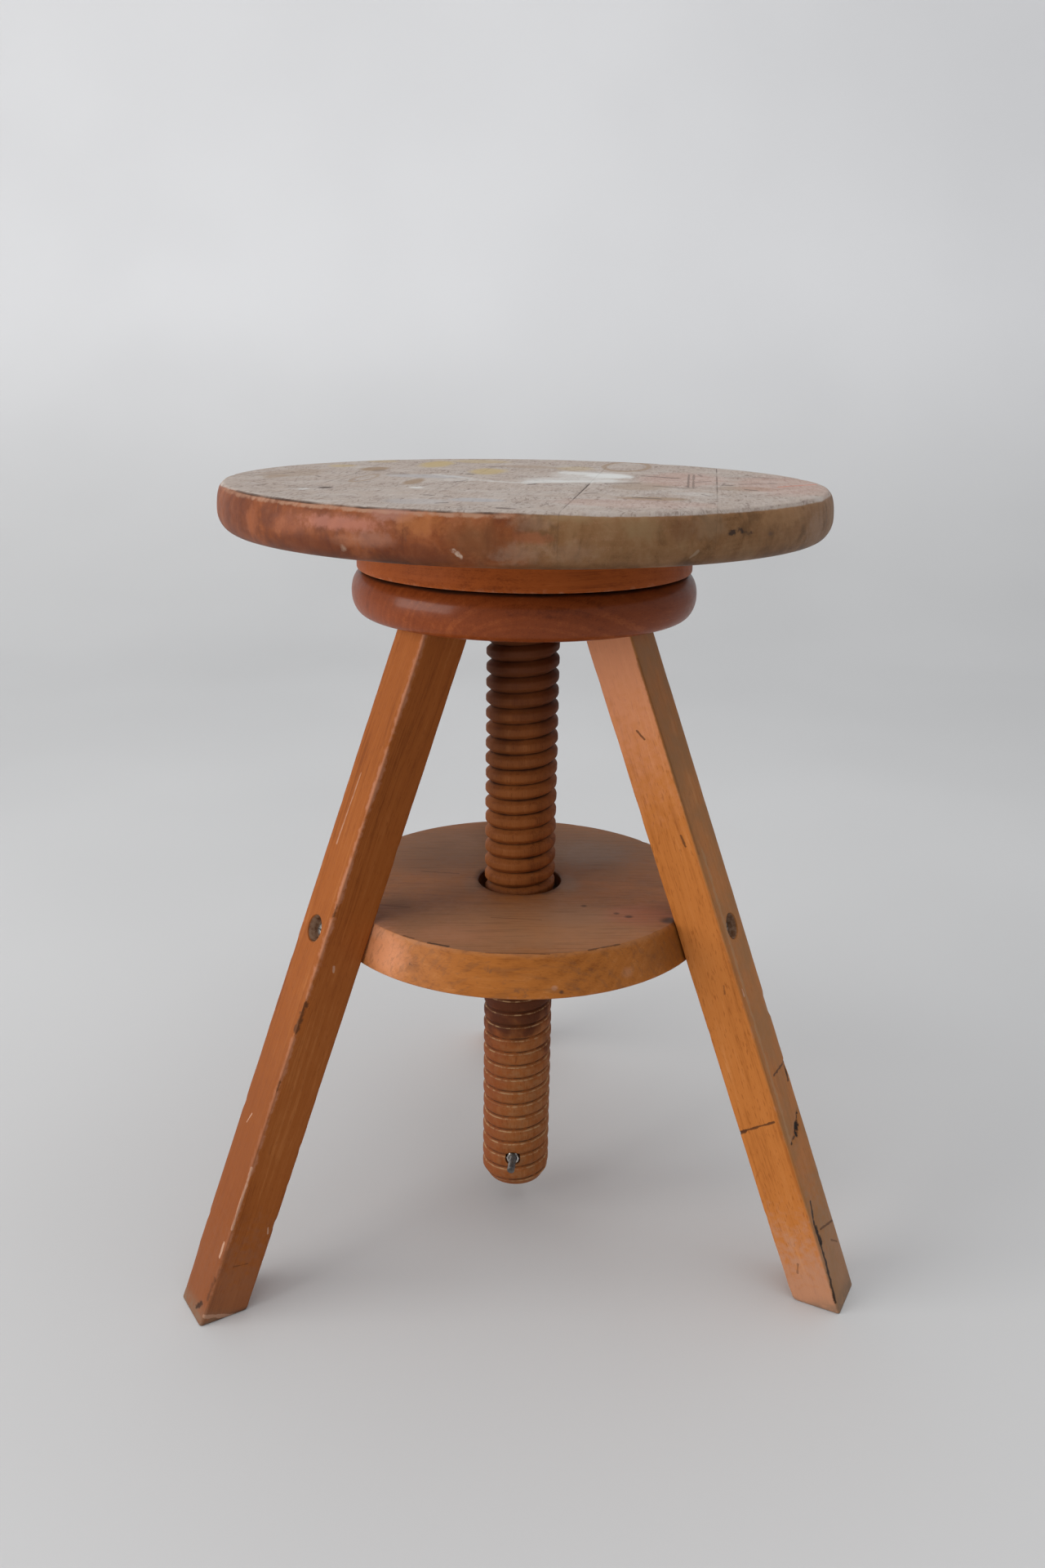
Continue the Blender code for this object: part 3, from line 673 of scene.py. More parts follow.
def seat_board(index):
    left, right = board_edges(index)
    rim = seat_rim()
    top_radius = rim[0][0]
    inner = [0.0, 0.35, 0.9, 1.8]
    if index == 0:
        left = -SEAT_RADIUS
    if index == 4:
        right = SEAT_RADIUS
    steps = 26
    start = math.acos(clamp(left / top_radius, -1, 1))
    stop = math.acos(clamp(right / top_radius, -1, 1))
    shares = [i / steps for i in range(steps + 1)]
    for d in inner[1:]:
        if index > 0:
            shares.append((math.acos((left + d * MM) / top_radius) - start) / (stop - start))
        if index < 4:
            shares.append((math.acos((right - d * MM) / top_radius) - start) / (stop - start))
    shares = sorted(shares)
    rows = 128

    def spot(share, radius):
        a = math.acos(clamp(left / radius, -1, 1))
        b = math.acos(clamp(right / radius, -1, 1))
        angle = a + (b - a) * share
        return radius * math.cos(angle), radius * math.sin(angle)

    rings = []
    for share in shares:
        ring = []
        across, reach = spot(share, top_radius)
        fractions = [math.sin(math.pi * (i / rows - 0.5)) for i in range(rows + 1)]
        ring += [(across, reach * f, SEAT_TOP) for f in fractions]
        for radius, z in rim[1:-1]:
            u, v = spot(share, radius)
            ring.append((u, v, z))
        across, reach = spot(share, rim[-1][0])
        ring += [(across, -reach * f, SEAT_BOTTOM) for f in fractions]
        for radius, z in rim[-2:0:-1]:
            u, v = spot(share, radius)
            ring.append((u, -v, z))
        rings.append(ring)
    bm = skin(rings, caps=False)
    count = len(rings[0])
    bm.verts.ensure_lookup_table()
    rim_count = len(rim) - 2
    for column, inside in ((0, index > 0), (len(shares) - 1, index < 4)):
        if not inside:
            continue
        verts = [bm.verts[column * count + j] for j in range(count)]
        tops = verts[: rows + 1]
        far = verts[rows + 1: rows + 1 + rim_count]
        bottoms = verts[rows + 1 + rim_count: 2 * rows + 2 + rim_count][::-1]
        nearby = verts[2 * rows + 2 + rim_count:]
        for j in range(rows):
            bm.faces.new((tops[j], tops[j + 1], bottoms[j + 1], bottoms[j]))
        bm.faces.new([tops[-1]] + far + [bottoms[-1]])
        bm.faces.new([bottoms[0]] + nearby + [tops[0]])
    for v in bm.verts:
        v.co = wear_seat(v.co, left, right, index)
    matrix = Matrix.Translation(AXIS) @ Matrix.Rotation(GRAIN_TURN, 4, "Z")
    board = finish_mesh(BOARDS[index].replace("board", "plank"), bm, matrix)

    def wear(co):
        radius, azimuth = math.hypot(co.x, co.y), math.degrees(math.atan2(co.y, co.x))
        under = (SEAT_TOP - co.z) / MM
        band = smooth(radius, SEAT_ARRIS_RADIUS - 3 * MM, SEAT_ARRIS_RADIUS) * smooth(under, 4.5, 2.2)
        if azimuth < 0:
            band *= smooth(azimuth, -70, -92) * smooth(azimuth, -168, -140)
        else:
            band *= 0.5
        belly = 0.12 * (1 - clamp(abs(co.z - SEAT_BELLY_Z) / (10 * MM))) * smooth(radius, 170 * MM, 178 * MM)
        return max(0.85 * band, belly)

    def dirt(co):
        radius, azimuth = math.hypot(co.x, co.y), math.degrees(math.atan2(co.y, co.x))
        on_rim = smooth(SEAT_TOP - co.z, 1.0 * MM, 3.0 * MM)
        glue = 0.0
        for number, side in ((index - 1, left), (index, right)):
            if 0 <= number < len(JOINT_GRIME):
                front, back = JOINT_GRIME[number]
                strength = back + (front - back) * smooth(co.y, 2 * MM, -14 * MM)
                strength *= 0.55 + 0.45 * smooth(co.y, -172 * MM, -110 * MM)
                strength *= 1 - 0.6 * on_rim
                glue = max(glue, strength * (1 - clamp(abs(co.x - side) / (0.9 * MM))))
        glue *= 0.45 + 0.55 * smooth(wander((co.x, co.y, 0), 45 * MM, 12.0), -0.35, 0.2)
        below = 0.5 * smooth(co.z, SEAT_BELLY_Z, SEAT_BOTTOM)
        under = (SEAT_TOP - co.z) / MM
        line = smooth(radius, SEAT_ARRIS_RADIUS - 1.6 * MM, SEAT_ARRIS_RADIUS - 0.9 * MM)
        line *= smooth(under, 0.2, 0.5) * smooth(under, 1.9, 1.3)
        line *= smooth(azimuth, -152, -138) * smooth(azimuth, -70, -88)
        line *= 0.7 + 0.5 * wander(co, 12 * MM, 15.0)
        return max(glue, below, 0.95 * line)

    paint(board, "wear", wear)
    paint(board, "dirt", dirt)
    return board


OCHRE, TAN, WHITE = (0.45, 0.335, 0.16), (0.30, 0.205, 0.13), (0.66, 0.66, 0.64)
UMBER, PINK, GREY = (0.085, 0.055, 0.042), (0.52, 0.20, 0.14), (0.40, 0.40, 0.42)
SOOT = (0.045, 0.026, 0.018)
MAROON, DUST = (0.10, 0.026, 0.012), (0.36, 0.24, 0.17)
# Stains on the seat's top, in mm across and along the boards: centre, half size, colour, strength
TOP_PATCHES = (
    (-75, 105, 10, 30, OCHRE, 0.9),
    (-32, 56, 11, 24, OCHRE, 0.85),
    (-50, 140, 20, 16, OCHRE, 0.5),
    (-131, 70, 9, 12, OCHRE, 0.6),
    (-105, 52, 9, 16, TAN, 1.0),
    (-99, 40, 4, 9, UMBER, 0.35),
    (-61, -30, 5, 20, TAN, 0.9),
    (-147, -22, 6, 14, TAN, 0.5),
    (-116, 118, 10, 13, OCHRE, 0.4),
    (-8, 100, 22, 13, TAN, 0.5),
    (20, 98, 12, 18, OCHRE, 0.4),
    (34, 46, 22, 28, WHITE, 0.45),
    (30, 8, 30, 17, WHITE, 0.45),
    (46, 44, 14, 18, WHITE, 0.7),
    (12, -6, 14, 12, WHITE, 0.35),
    (-62, 8, 24, 12, GREY, 0.55),
    (-40, -12, 12, 9, WHITE, 0.25),
    (-99, -82, 4, 4.5, UMBER, 1.0),
    (-52, -66, 4, 5, WHITE, 0.7),
    (-108, -92, 3, 5, WHITE, 0.5),
    (-8, -125, 14, 9, GREY, 0.6),
    (-36, -140, 16, 13, GREY, 0.35),
    (80, -92, 18, 9, TAN, 0.8),
    (12, -160, 6, 3, UMBER, 0.4),
    (70, -20, 18, 24, TAN, 0.45),
    (128, -20, 16, 15, TAN, 0.45),
    (-144, 5, 17, 32, TAN, 0.35),
    (100, -60, 12, 10, WHITE, 0.25),
    (92, 30, 26, 50, PINK, 0.2),
    (150, 10, 26, 64, PINK, 0.2),
    (70, -120, 40, 22, PINK, 0.14),
)
# Scratches, dents and paint lines on the top: start, end, half width, colour, strength. They are drawn with
# lengths along the boards scaled by SPREAD, so each comes out wider in that direction
SPREAD = 0.45
TOP_LINES = (
    (-119, -84, -97, -77, 0.9, UMBER, 0.5),
    (-125, -10, -121, -17, 1.2, UMBER, 0.5),
    (-34, 3, -34, -91, 0.7, UMBER, 0.3),
    (-91, -48, -86, -37, 1.0, UMBER, 0.5),
    (-39, -106, -34, -107, 1.3, UMBER, 0.6),
    (-27, -110, -25, -112, 1.2, UMBER, 0.6),
    (-24, -145, -20, -142, 1.3, UMBER, 0.55),
    (8, -158, 14, -162, 1.5, UMBER, 0.45),
    (-60, 24, -18, -15, 2.6, WHITE, 0.3),
    (-18, -15, 8, -24, 2.2, WHITE, 0.4),
    (6, -30, 9, -25, 1.8, UMBER, 0.8),
    (4, -14, 50, 10, 5.0, WHITE, 0.5),
    (17, 64, 57, 40, 6.0, WHITE, 0.6),
    (42, -74, 48, -70, 1.1, UMBER, 0.65),
    (27, -146, 29, -132, 0.8, UMBER, 0.45),
    (66, 52, 89, 40, 1.3, UMBER, 0.7),
    (95, 72, 96, -21, 0.9, UMBER, 0.6),
    (98, 72, 99, -21, 0.9, UMBER, 0.5),
    (91, -27, 100, -24, 1.1, UMBER, 0.65),
    (77, -18, 90, -22, 1.3, UMBER, 0.55),
    (69, -88, 83, -92, 1.2, UMBER, 0.7),
    (100, 16, 109, 24, 1.1, UMBER, 0.6),
    (104, -60, 109, -70, 1.1, UMBER, 0.45),
    (49, -11, 67, 0, 1.6, UMBER, 0.45),
    (116, 1, 121, 0, 1.8, UMBER, 0.7),
    (126, 9, 147, 21, 1.4, UMBER, 0.45),
    (129, -25, 134, -28, 1.6, UMBER, 0.6),
    (148, -1, 171, 24, 1.2, PINK, 0.9),
    (136, 64, 147, 62, 1.5, UMBER, 0.5),
    (101, 74, 103, 60, 1.2, UMBER, 0.5),
    (-88, 17, -76, 21, 1.4, UMBER, 0.55),
    (-41, 33, -37, 30, 1.6, UMBER, 0.8),
    (-38, 97, -29, 94, 1.6, UMBER, 0.45),
    (-161, -18, -145, 8, 1.5, UMBER, 0.45),
    (-38, -27, -33, -12, 1.0, UMBER, 0.6),
)
# The outline of a knot or a wet ring: centre, half size, half width of the line
TOP_RINGS = ((52, 125, 15, 40, 0.18, TAN, 0.75), (-94, -16, 5, 26, 0.25, TAN, 0.6))
# Marks on the rim: centre and half size in mm, heights from the seat's underside
RIM_PATCHES = (
    # partly painted sheen: these two pink patches lay the window's highlight on the rim's front left, over
    # pinkish rubbed stain
    (-70, -167.5, 18.5, 24, 16, 3.2, PINK, 0.45),
    (-102, -150, 15, 14, 14, 5, PINK, 0.1),
    (-42, -176.6, 25, 15, 8, 3.5, (0.36, 0.18, 0.14), 0.55),
    (-51, -174, 12, 11, 8, 4, (0.38, 0.20, 0.15), 0.3),
    (-65, -169, 10, 8, 8, 3, (0.40, 0.16, 0.085), 0.4),
    (-114, -141, 19, 7, 8, 8, MAROON, 0.5),
    (-142, -112, 14, 24, 30, 14, MAROON, 0.4),
    (-126, -131, 14, 5, 6, 9, (0.36, 0.11, 0.04), 0.5),
    (-90, -157, 6, 40, 25, 5, MAROON, 0.55),
    (-31, -178, 6, 24, 8, 5, MAROON, 0.5),
    (-28, -179.4, 21, 12, 6, 6, (0.40, 0.14, 0.04), 0.55),
    (3.5, -181.5, 13, 15, 6, 7, (0.15, 0.050, 0.018), 0.5),
    (29, -179, 22.5, 11, 6, 3.5, DUST, 0.25),
    (29, -179, 16, 9, 5, 2.6, (0.32, 0.10, 0.045), 0.5),
    (22, -180, 8, 12, 6, 5, DUST, 0.3),
    (47.6, -175.2, 9, 12, 8, 4.5, DUST, 0.2),
    (50, -175, 26, 18, 10, 3, (0.26, 0.165, 0.08), 0.5),
    (78, -163, 20, 10, 10, 5, (0.27, 0.175, 0.085), 0.4),
    (99, -152, 19, 8, 8, 6, MAROON, 0.3),
    (111, -144, 20, 9, 9, 6, (0.30, 0.19, 0.11), 0.4),
    (148, -105, 22, 20, 22, 6, (0.36, 0.19, 0.085), 0.5),
    (165, -70, 12, 9, 14, 7, DUST, 0.3),
    # painted reflection: a faint grey-blue sheen of the window at the rim's far left
    (-170, -50, 10, 9, 20, 9, GREY, 0.15),
    (-67.2, -167, 5.5, 2.0, 1.6, 2.4, DUST, 0.9),
    (126.4, -127.3, 24.7, 1.2, 1.2, 0.9, WHITE, 0.8),
    (84.3, -156.6, 26.8, 1.0, 1.0, 0.8, DUST, 0.7),
    (141.4, -113.8, 13.8, 2.6, 2.6, 1.2, UMBER, 0.6),
    (38.7, -177.3, 18.8, 1.4, 1.4, 1.8, UMBER, 0.6),
)
RIM_LINES = (
    (-11, -180.8, 9, -6.5, -179.6, 6, 2.0, (0.52, 0.38, 0.29), 0.9),
    (38.8, -176.6, 23, 38.8, -177, 13, 1.4, UMBER, 0.75),
    (120.5, -134.6, 16.3, 125.6, -130.6, 17.2, 2.2, SOOT, 0.95),
    (125.6, -130.6, 16, 133, -123.1, 14.6, 1.5, SOOT, 0.8),
    (99, -149, 2, 104, -146, 8, 1.1, TAN, 0.7),
    (-33.3, -177.6, 26, -33.3, -177.6, 12, 1.0, UMBER, 0.4),
    (-106, -143, 26, -106, -144, 14, 0.7, UMBER, 0.3),
)
REDDISH = ((0.13, 0.030, 0.008), (0.21, 0.054, 0.014), (0.27, 0.082, 0.028))
OLIVE = ((0.12, 0.050, 0.016), (0.23, 0.112, 0.046), (0.32, 0.170, 0.090))
SEAT_LOOKS = (
    {"seed": 1.0, "pith": (-0.16, 0.06)},
    {"seed": 2.3, "pith": (-0.02, -0.05)},
    {"seed": 3.1, "pith": (0.03, 0.08)},
    {"seed": 4.7, "pith": (0.10, -0.06)},
    {"seed": 5.2, "pith": (0.19, 0.07)},
)


def turned_scratches(graph, place, degrees, low, high):
    """Fine scratches that run in one direction over the seat."""
    c, s = math.cos(math.radians(degrees)), math.sin(math.radians(degrees))
    across = graph.vector("DOT_PRODUCT", place, (c * 850, s * 850, 0.0))
    along = graph.vector("DOT_PRODUCT", place, (-s * 85, c * 85, 0.0))
    both = graph.add("CombineXYZ", {0: across, 1: along, 2: degrees * 0.37}).outputs[0]
    return graph.step(graph.noise(both, (1, 1, 1), 1.0), low, high)


def seat_rim_colour(graph, parts):
    """Stain on the rim: reddish at the left, olive at the right, mottled and rubbed."""
    place, cloudy = parts["place"], parts["cloudy"]
    across = graph.add("SeparateXYZ", {0: place}).outputs[0]
    across = graph.swayed(cloudy, 0.09, across)
    olive = graph.step(across, -0.02, 0.055)
    colour = graph.mix(olive, graph.toned(parts["value"], REDDISH), graph.toned(parts["value"], OLIVE))
    mottle = graph.noise(place, (82, 82, 64), 4.0, 0.55, 0.6)
    small = graph.noise(place, (240, 240, 190), 3.0, 0.6)
    pale = graph.mix(olive, (0.37, 0.125, 0.050), (0.29, 0.170, 0.083))
    deep = graph.mix(olive, (0.11, 0.026, 0.009), (0.11, 0.053, 0.020))
    colour = graph.mix(graph.times(graph.step(mottle, 0.48, 0.74), 0.55), colour, pale)
    colour = graph.mix(graph.times(graph.step(mottle, 0.52, 0.28), 0.75), colour, deep)
    colour = graph.mix(graph.times(graph.step(small, 0.52, 0.72), 0.25), colour, pale)
    colour = graph.mix(graph.times(graph.step(small, 0.46, 0.28), 0.22), colour, deep)
    worn_colour = graph.mix(olive, (0.40, 0.225, 0.145), (0.30, 0.19, 0.11))
    colour = graph.mix(graph.times(parts["worn"], 0.75), colour, worn_colour)
    return graph.mix(parts["grime"], colour, parts["look"]["dirt_colour"])


def seat_dress(graph, parts):
    """The seat's top is rubbed bare and grey, scratched and stained; the rim keeps its stain."""
    place = parts["place"]
    rag = graph.math("MULTIPLY", graph.math("ADD", parts["patchy"], parts["cloudy"]), 0.5)
    left, right = parts["look"]["span"]
    apart = graph.add("SeparateXYZ", {0: place})
    ragged = graph.swayed(rag, 1.6 * MM, apart.outputs[2])
    wrapped = graph.either(graph.step(apart.outputs[0], 20 * MM, 80 * MM),
                           graph.step(apart.outputs[0], -140 * MM, -170 * MM))
    ragged = graph.math("MULTIPLY_ADD", wrapped, 1.3 * MM, ragged)
    top = graph.step(ragged, SEAT_TOP - 1.3 * MM, SEAT_TOP - 0.5 * MM)
    grain = graph.noise(place, (600, 60, 600), 4.0, 0.62)
    spots = graph.noise(place, (420, 120, 420), 3.0, 0.6)
    pools = graph.noise(place, (85, 60, 85), 3.0, 0.6)
    bare = graph.mix(graph.step(grain, 0.3, 0.7), (0.33, 0.262, 0.22), (0.475, 0.402, 0.355))
    bare = graph.mix(graph.step(pools, 0.35, 0.7), bare, (0.42, 0.342, 0.29))
    bare = graph.mix(graph.times(graph.step(parts["cloudy"], 0.42, 0.7), 0.5), bare, (0.50, 0.45, 0.41))
    bare = graph.mix(graph.times(graph.step(spots, 0.56, 0.7), 0.55), bare, (0.19, 0.135, 0.105))
    busy = graph.step(graph.noise(place, (34, 34, 34), 2.0), 0.40, 0.60)
    scratched = graph.either(*(turned_scratches(graph, place, a, 0.61, 0.70) for a in (12, 64, 97, 151)))
    scratched = graph.times(scratched, busy)
    bare = graph.mix(graph.times(scratched, 0.45), bare, (0.14, 0.095, 0.075))
    scuffed = graph.step(graph.noise(place, (230, 48, 0), 3.0, 0.7), 0.59, 0.66)
    bare = graph.mix(graph.times(scuffed, graph.step(busy, 0.0, 1.0, 0.2, 0.7)), bare, (0.18, 0.125, 0.10))
    near = [m for m in TOP_PATCHES if left - m[2] < m[0] < right + m[2]]
    stains = [((x, y, 0), (half_x, half_y, 0), tone, strength)
              for x, y, half_x, half_y, tone, strength in near]
    bare = graph.stained(bare, place, rag, stains, 0.3)
    for x, y, half_x, half_y, line, tone, strength in TOP_RINGS:
        rel = graph.vector("SUBTRACT", place, (x * MM, y * MM, 0))
        rel = graph.vector("LENGTH", graph.stretched(rel, (1000 / half_x, 1000 / half_y, 0)))
        off = graph.math("ABSOLUTE", graph.math("SUBTRACT", rel, 1.0))
        bare = graph.mix(graph.times(graph.step(off, line, line / 3, 0.0, 1.0), strength), bare, tone)
    near = [m for m in TOP_LINES if left - m[4] < max(m[0], m[2]) and min(m[0], m[2]) < right + m[4]]
    lines = [((x, y * SPREAD, 0), (x2, y2 * SPREAD, 0), width, tone, strength)
             for x, y, x2, y2, width, tone, strength in near]
    bare = graph.scored(bare, graph.stretched(place, (1, SPREAD, 0)), parts["patchy"], lines)
    bare = graph.mix(graph.times(parts["grime"], 0.8), bare, (0.06, 0.032, 0.022))
    rim = seat_rim_colour(graph, parts)
    low = SEAT_BOTTOM / MM
    near = [m for m in RIM_PATCHES if left - m[3] < m[0] < right + m[3]]
    stains = [((x, y, z + low), (a, b, c), tone, strength) for x, y, z, a, b, c, tone, strength in near]
    rim = graph.stained(rim, place, parts["patchy"], stains, 0.5, 1.9)
    near = [m for m in RIM_LINES if left - m[6] < max(m[0], m[3]) and min(m[0], m[3]) < right + m[6]]
    lines = [((x, y, z + low), (a, b, c + low), width, tone, strength)
             for x, y, z, a, b, c, width, tone, strength in near]
    rim = graph.scored(rim, place, parts["patchy"], lines)
    parts["colour"] = graph.mix(top, rim, bare)
    parts["roughness"] = graph.math("MULTIPLY_ADD", top, 0.15, parts["roughness"])
    relief = graph.math("MULTIPLY_ADD", grain, 0.5, graph.times(scratched, -0.8))
    parts["height"] = graph.math("MULTIPLY_ADD", graph.times(relief, top), 0.9, parts["height"])


def make_seat():
    for index, look in enumerate(SEAT_LOOKS):
        board = seat_board(index)
        left, right = board_edges(index)
        settings = {"span": (left / MM, right / MM), "roughness": 0.5, "ring": 0.08, "streak": 0.3}
        settings.update({"specular": 0.13, "coat": 0.04, "blotch": 0.7, **look})
        material = wood(f"seat_wood_{index + 1}", settings, seat_dress)
        finish(board, material, "seat", BOARDS[index], ALONG_Y)


# ------------------------------------------------------------------ flange and hub
def worn_round(amount, size, seed):
    """A lathe shape that draws the surface in a little, unevenly."""

    def shape(radius, angle, z):
        around = (radius * math.cos(angle), radius * math.sin(angle), z)
        pull = amount * (0.5 + 0.5 * wander(around, size, seed) + 0.25 * wander(around, size / 4, seed + 3))
        return radius - max(0.0, pull) * smooth(radius, 40 * MM, 60 * MM), z

    return shape


def make_flange():
    c = 0.8 * MM
    profile = [(0.0, FLANGE_TOP), (FLANGE_RADIUS - 0.5 * MM, FLANGE_TOP)]
    profile.append((FLANGE_RADIUS, FLANGE_TOP - 0.5 * MM))
    profile += [(FLANGE_RADIUS, FLANGE_BOTTOM + c), (FLANGE_RADIUS - 0.3 * c, FLANGE_BOTTOM + 0.3 * c)]
    profile += [(FLANGE_RADIUS - c, FLANGE_BOTTOM), (SPINDLE_TENON_RADIUS + GAP, FLANGE_BOTTOM)]
    profile += [(SPINDLE_TENON_RADIUS + GAP, SPINDLE_TENON_TOP + GAP), (0.0, SPINDLE_TENON_TOP + GAP)]
    bm = lathe(resampled(profile, 3 * MM), ROUND_SEGMENTS, worn_round(0.25 * MM, 30 * MM, 11.0))
    flange = finish_mesh("flange_turned", bm)
    edge = FLANGE_RADIUS - 1.2 * MM

    def wear(co):
        rim = smooth(math.hypot(co.x, co.y), edge - 1 * MM, edge + 0.6 * MM)
        low = 1 - clamp((co.z - FLANGE_BOTTOM) / (2.2 * MM))
        return 0.6 * rim * low

    def dirt(co):
        return 0.9 * smooth(co.z, FLANGE_TOP - 3.5 * MM, FLANGE_TOP)

    paint(flange, "wear", wear)
    paint(flange, "dirt", dirt)
    look = {
        "seed": 6.4,
        "pith": (-0.07, 0.03),
        "colours": ((0.20, 0.040, 0.006), (0.35, 0.078, 0.013), (0.46, 0.120, 0.026)),
        "specular": 0.07,
        "coat": 0.02,
    }
    finish(flange, wood("flange_wood", look), "seat", "seat_flange", grain_along(15))


def make_hub():
    bulge = HUB_RADIUS - HUB_FACE_RADIUS
    mouth = CREST_RADIUS + THREAD_PLAY + 0.5 * MM
    lead = 4.0 * MM
    profile = [(mouth + lead, HUB_TOP)]
    profile += quarter(HUB_FACE_RADIUS, HUB_BELLY_Z, bulge, HUB_TOP - HUB_BELLY_Z, 12, 90, 0)
    profile += quarter(HUB_FACE_RADIUS, HUB_BELLY_Z, bulge, HUB_BELLY_Z - HUB_BOTTOM, 12, 0, -90)[1:]
    profile.append((mouth + lead, HUB_BOTTOM))
    profile = resampled(profile, 3 * MM)
    bore_rows = 64
    profile += [(0.0, HUB_BOTTOM + (HUB_TOP - HUB_BOTTOM) * i / bore_rows) for i in range(1, bore_rows)]
    outer = worn_round(0.2 * MM, 30 * MM, 21.0)

    def shape(radius, angle, z):
        if radius > 0:
            return outer(radius, angle, z)
        into = min(z - HUB_BOTTOM, HUB_TOP - z)
        return max(thread_radius(angle, z) + THREAD_PLAY, mouth + lead - into), z

    hub = finish_mesh("hub_turned", lathe(profile, ROUND_SEGMENTS, shape, close_rows=True))
    sockets = []
    for azimuth in LEG_AZIMUTHS.values():
        low, high = up_leg(HUB_BOTTOM - 20 * MM), up_leg(LEG_TENON_TOP) + GAP
        rod = lathe([(LEG_TENON_RADIUS + GAP, low), (LEG_TENON_RADIUS + GAP, high)], 48)
        sockets.append(finish_mesh("socket", rod, leg_frame(azimuth)))
    carve(hub, sockets)

    def wear(co):
        radius = math.hypot(co.x, co.y)
        lower = (1 - clamp((co.z - HUB_BOTTOM) / (7 * MM))) * smooth(radius, 92 * MM, 98 * MM)
        belly = 0.15 * smooth(radius, HUB_RADIUS - 2 * MM, HUB_RADIUS)
        return max(0.25 * lower, belly)

    def dirt(co):
        radius = math.hypot(co.x, co.y)
        inside = 1 - smooth(radius, CREST_RADIUS + 2 * MM, CREST_RADIUS + 8 * MM)
        above = smooth(co.z, HUB_TOP - 2.5 * MM, HUB_TOP)
        outer = smooth(radius, HUB_RADIUS - 16 * MM, HUB_RADIUS - 6 * MM)
        return max(inside, above * (0.4 + 0.5 * outer))

    paint(hub, "wear", wear)
    paint(hub, "dirt", dirt)
    look = {
        "seed": 7.9,
        "pith": (-0.055, 0.39),
        "rings": 300.0,
        "ring": 0.16,
        "colours": ((0.12, 0.023, 0.005), (0.22, 0.046, 0.010), (0.33, 0.082, 0.021)),
        "worn_colour": (0.36, 0.12, 0.05),
        "specular": 0.05,
        "coat": 0.28,
        "coat_roughness": 0.18,
        "roughness": 0.42,
    }
    finish(hub, wood("hub_wood", look), "frame", "hub", grain_along(55))


# ------------------------------------------------------------------ spindle and its stop
def screw_dress(graph, parts):
    """Painted shade below the hub and the disc, dustier lower down, darker thread roots and rubbed thread
    edges.
    """
    apart = graph.add("SeparateXYZ", {0: parts["place"]})
    x, y, z = apart.outputs
    uneven = graph.math("SUBTRACT", parts["cloudy"], 0.5)
    height = graph.math("MULTIPLY_ADD", uneven, 0.09, z)
    # painted shade: the spindle darkens up towards the hub, standing in for the hub's shadow on it
    shade_under_hub = graph.step(height, 0.27, 0.40, 0.0, 0.82)
    colour = graph.mix(shade_under_hub, parts["colour"], (0.068, 0.017, 0.006))
    dusty = graph.times(graph.step(height, 0.19, 0.10), graph.step(parts["patchy"], 0.35, 0.7, 0.0, 0.45))
    colour = graph.mix(dusty, colour, (0.36, 0.19, 0.085))
    low = graph.step(z, THREAD_WORN_BELOW + 20 * MM, THREAD_WORN_BELOW)
    red = graph.times(graph.step(graph.math("MULTIPLY_ADD", uneven, 0.02, x), 0.0, -0.018), low, 0.55)
    colour = graph.mix(red, colour, (0.25, 0.055, 0.014))
    # painted shade: a dark band round and just below the disc, standing in for the disc's shadow on the
    # spindle
    shaded = graph.times(graph.step(height, 0.126, 0.150), graph.step(z, 0.245, 0.225), 0.8)
    colour = graph.mix(shaded, colour, (0.050, 0.011, 0.005))
    turn = graph.math("MULTIPLY_ADD", z, 1 / PITCH, -CREST_Z_AT_X / PITCH)
    turn = graph.math("SUBTRACT", turn, graph.math("MULTIPLY", graph.math("ARCTAN2", y, x), 1 / math.tau))
    share = graph.math("MULTIPLY", graph.math("SUBTRACT", turn, graph.math("ROUND", turn)), 2.0)
    # darker lines along the thread roots of the lower spindle
    groove = graph.step(graph.math("ABSOLUTE", share), 0.84, 0.97)
    groove = graph.times(groove, low, graph.step(parts["patchy"], 0.36, 0.56, 0.15, 0.75))
    colour = graph.mix(groove, colour, (0.07, 0.026, 0.012))
    off = graph.math("ABSOLUTE", graph.math("SUBTRACT", share, 0.72))
    edge = graph.times(graph.step(off, 0.10, 0.03), low, graph.step(parts["patchy"], 0.42, 0.58, 0.15, 0.75))
    parts["colour"] = graph.mix(edge, colour, (0.52, 0.32, 0.16))


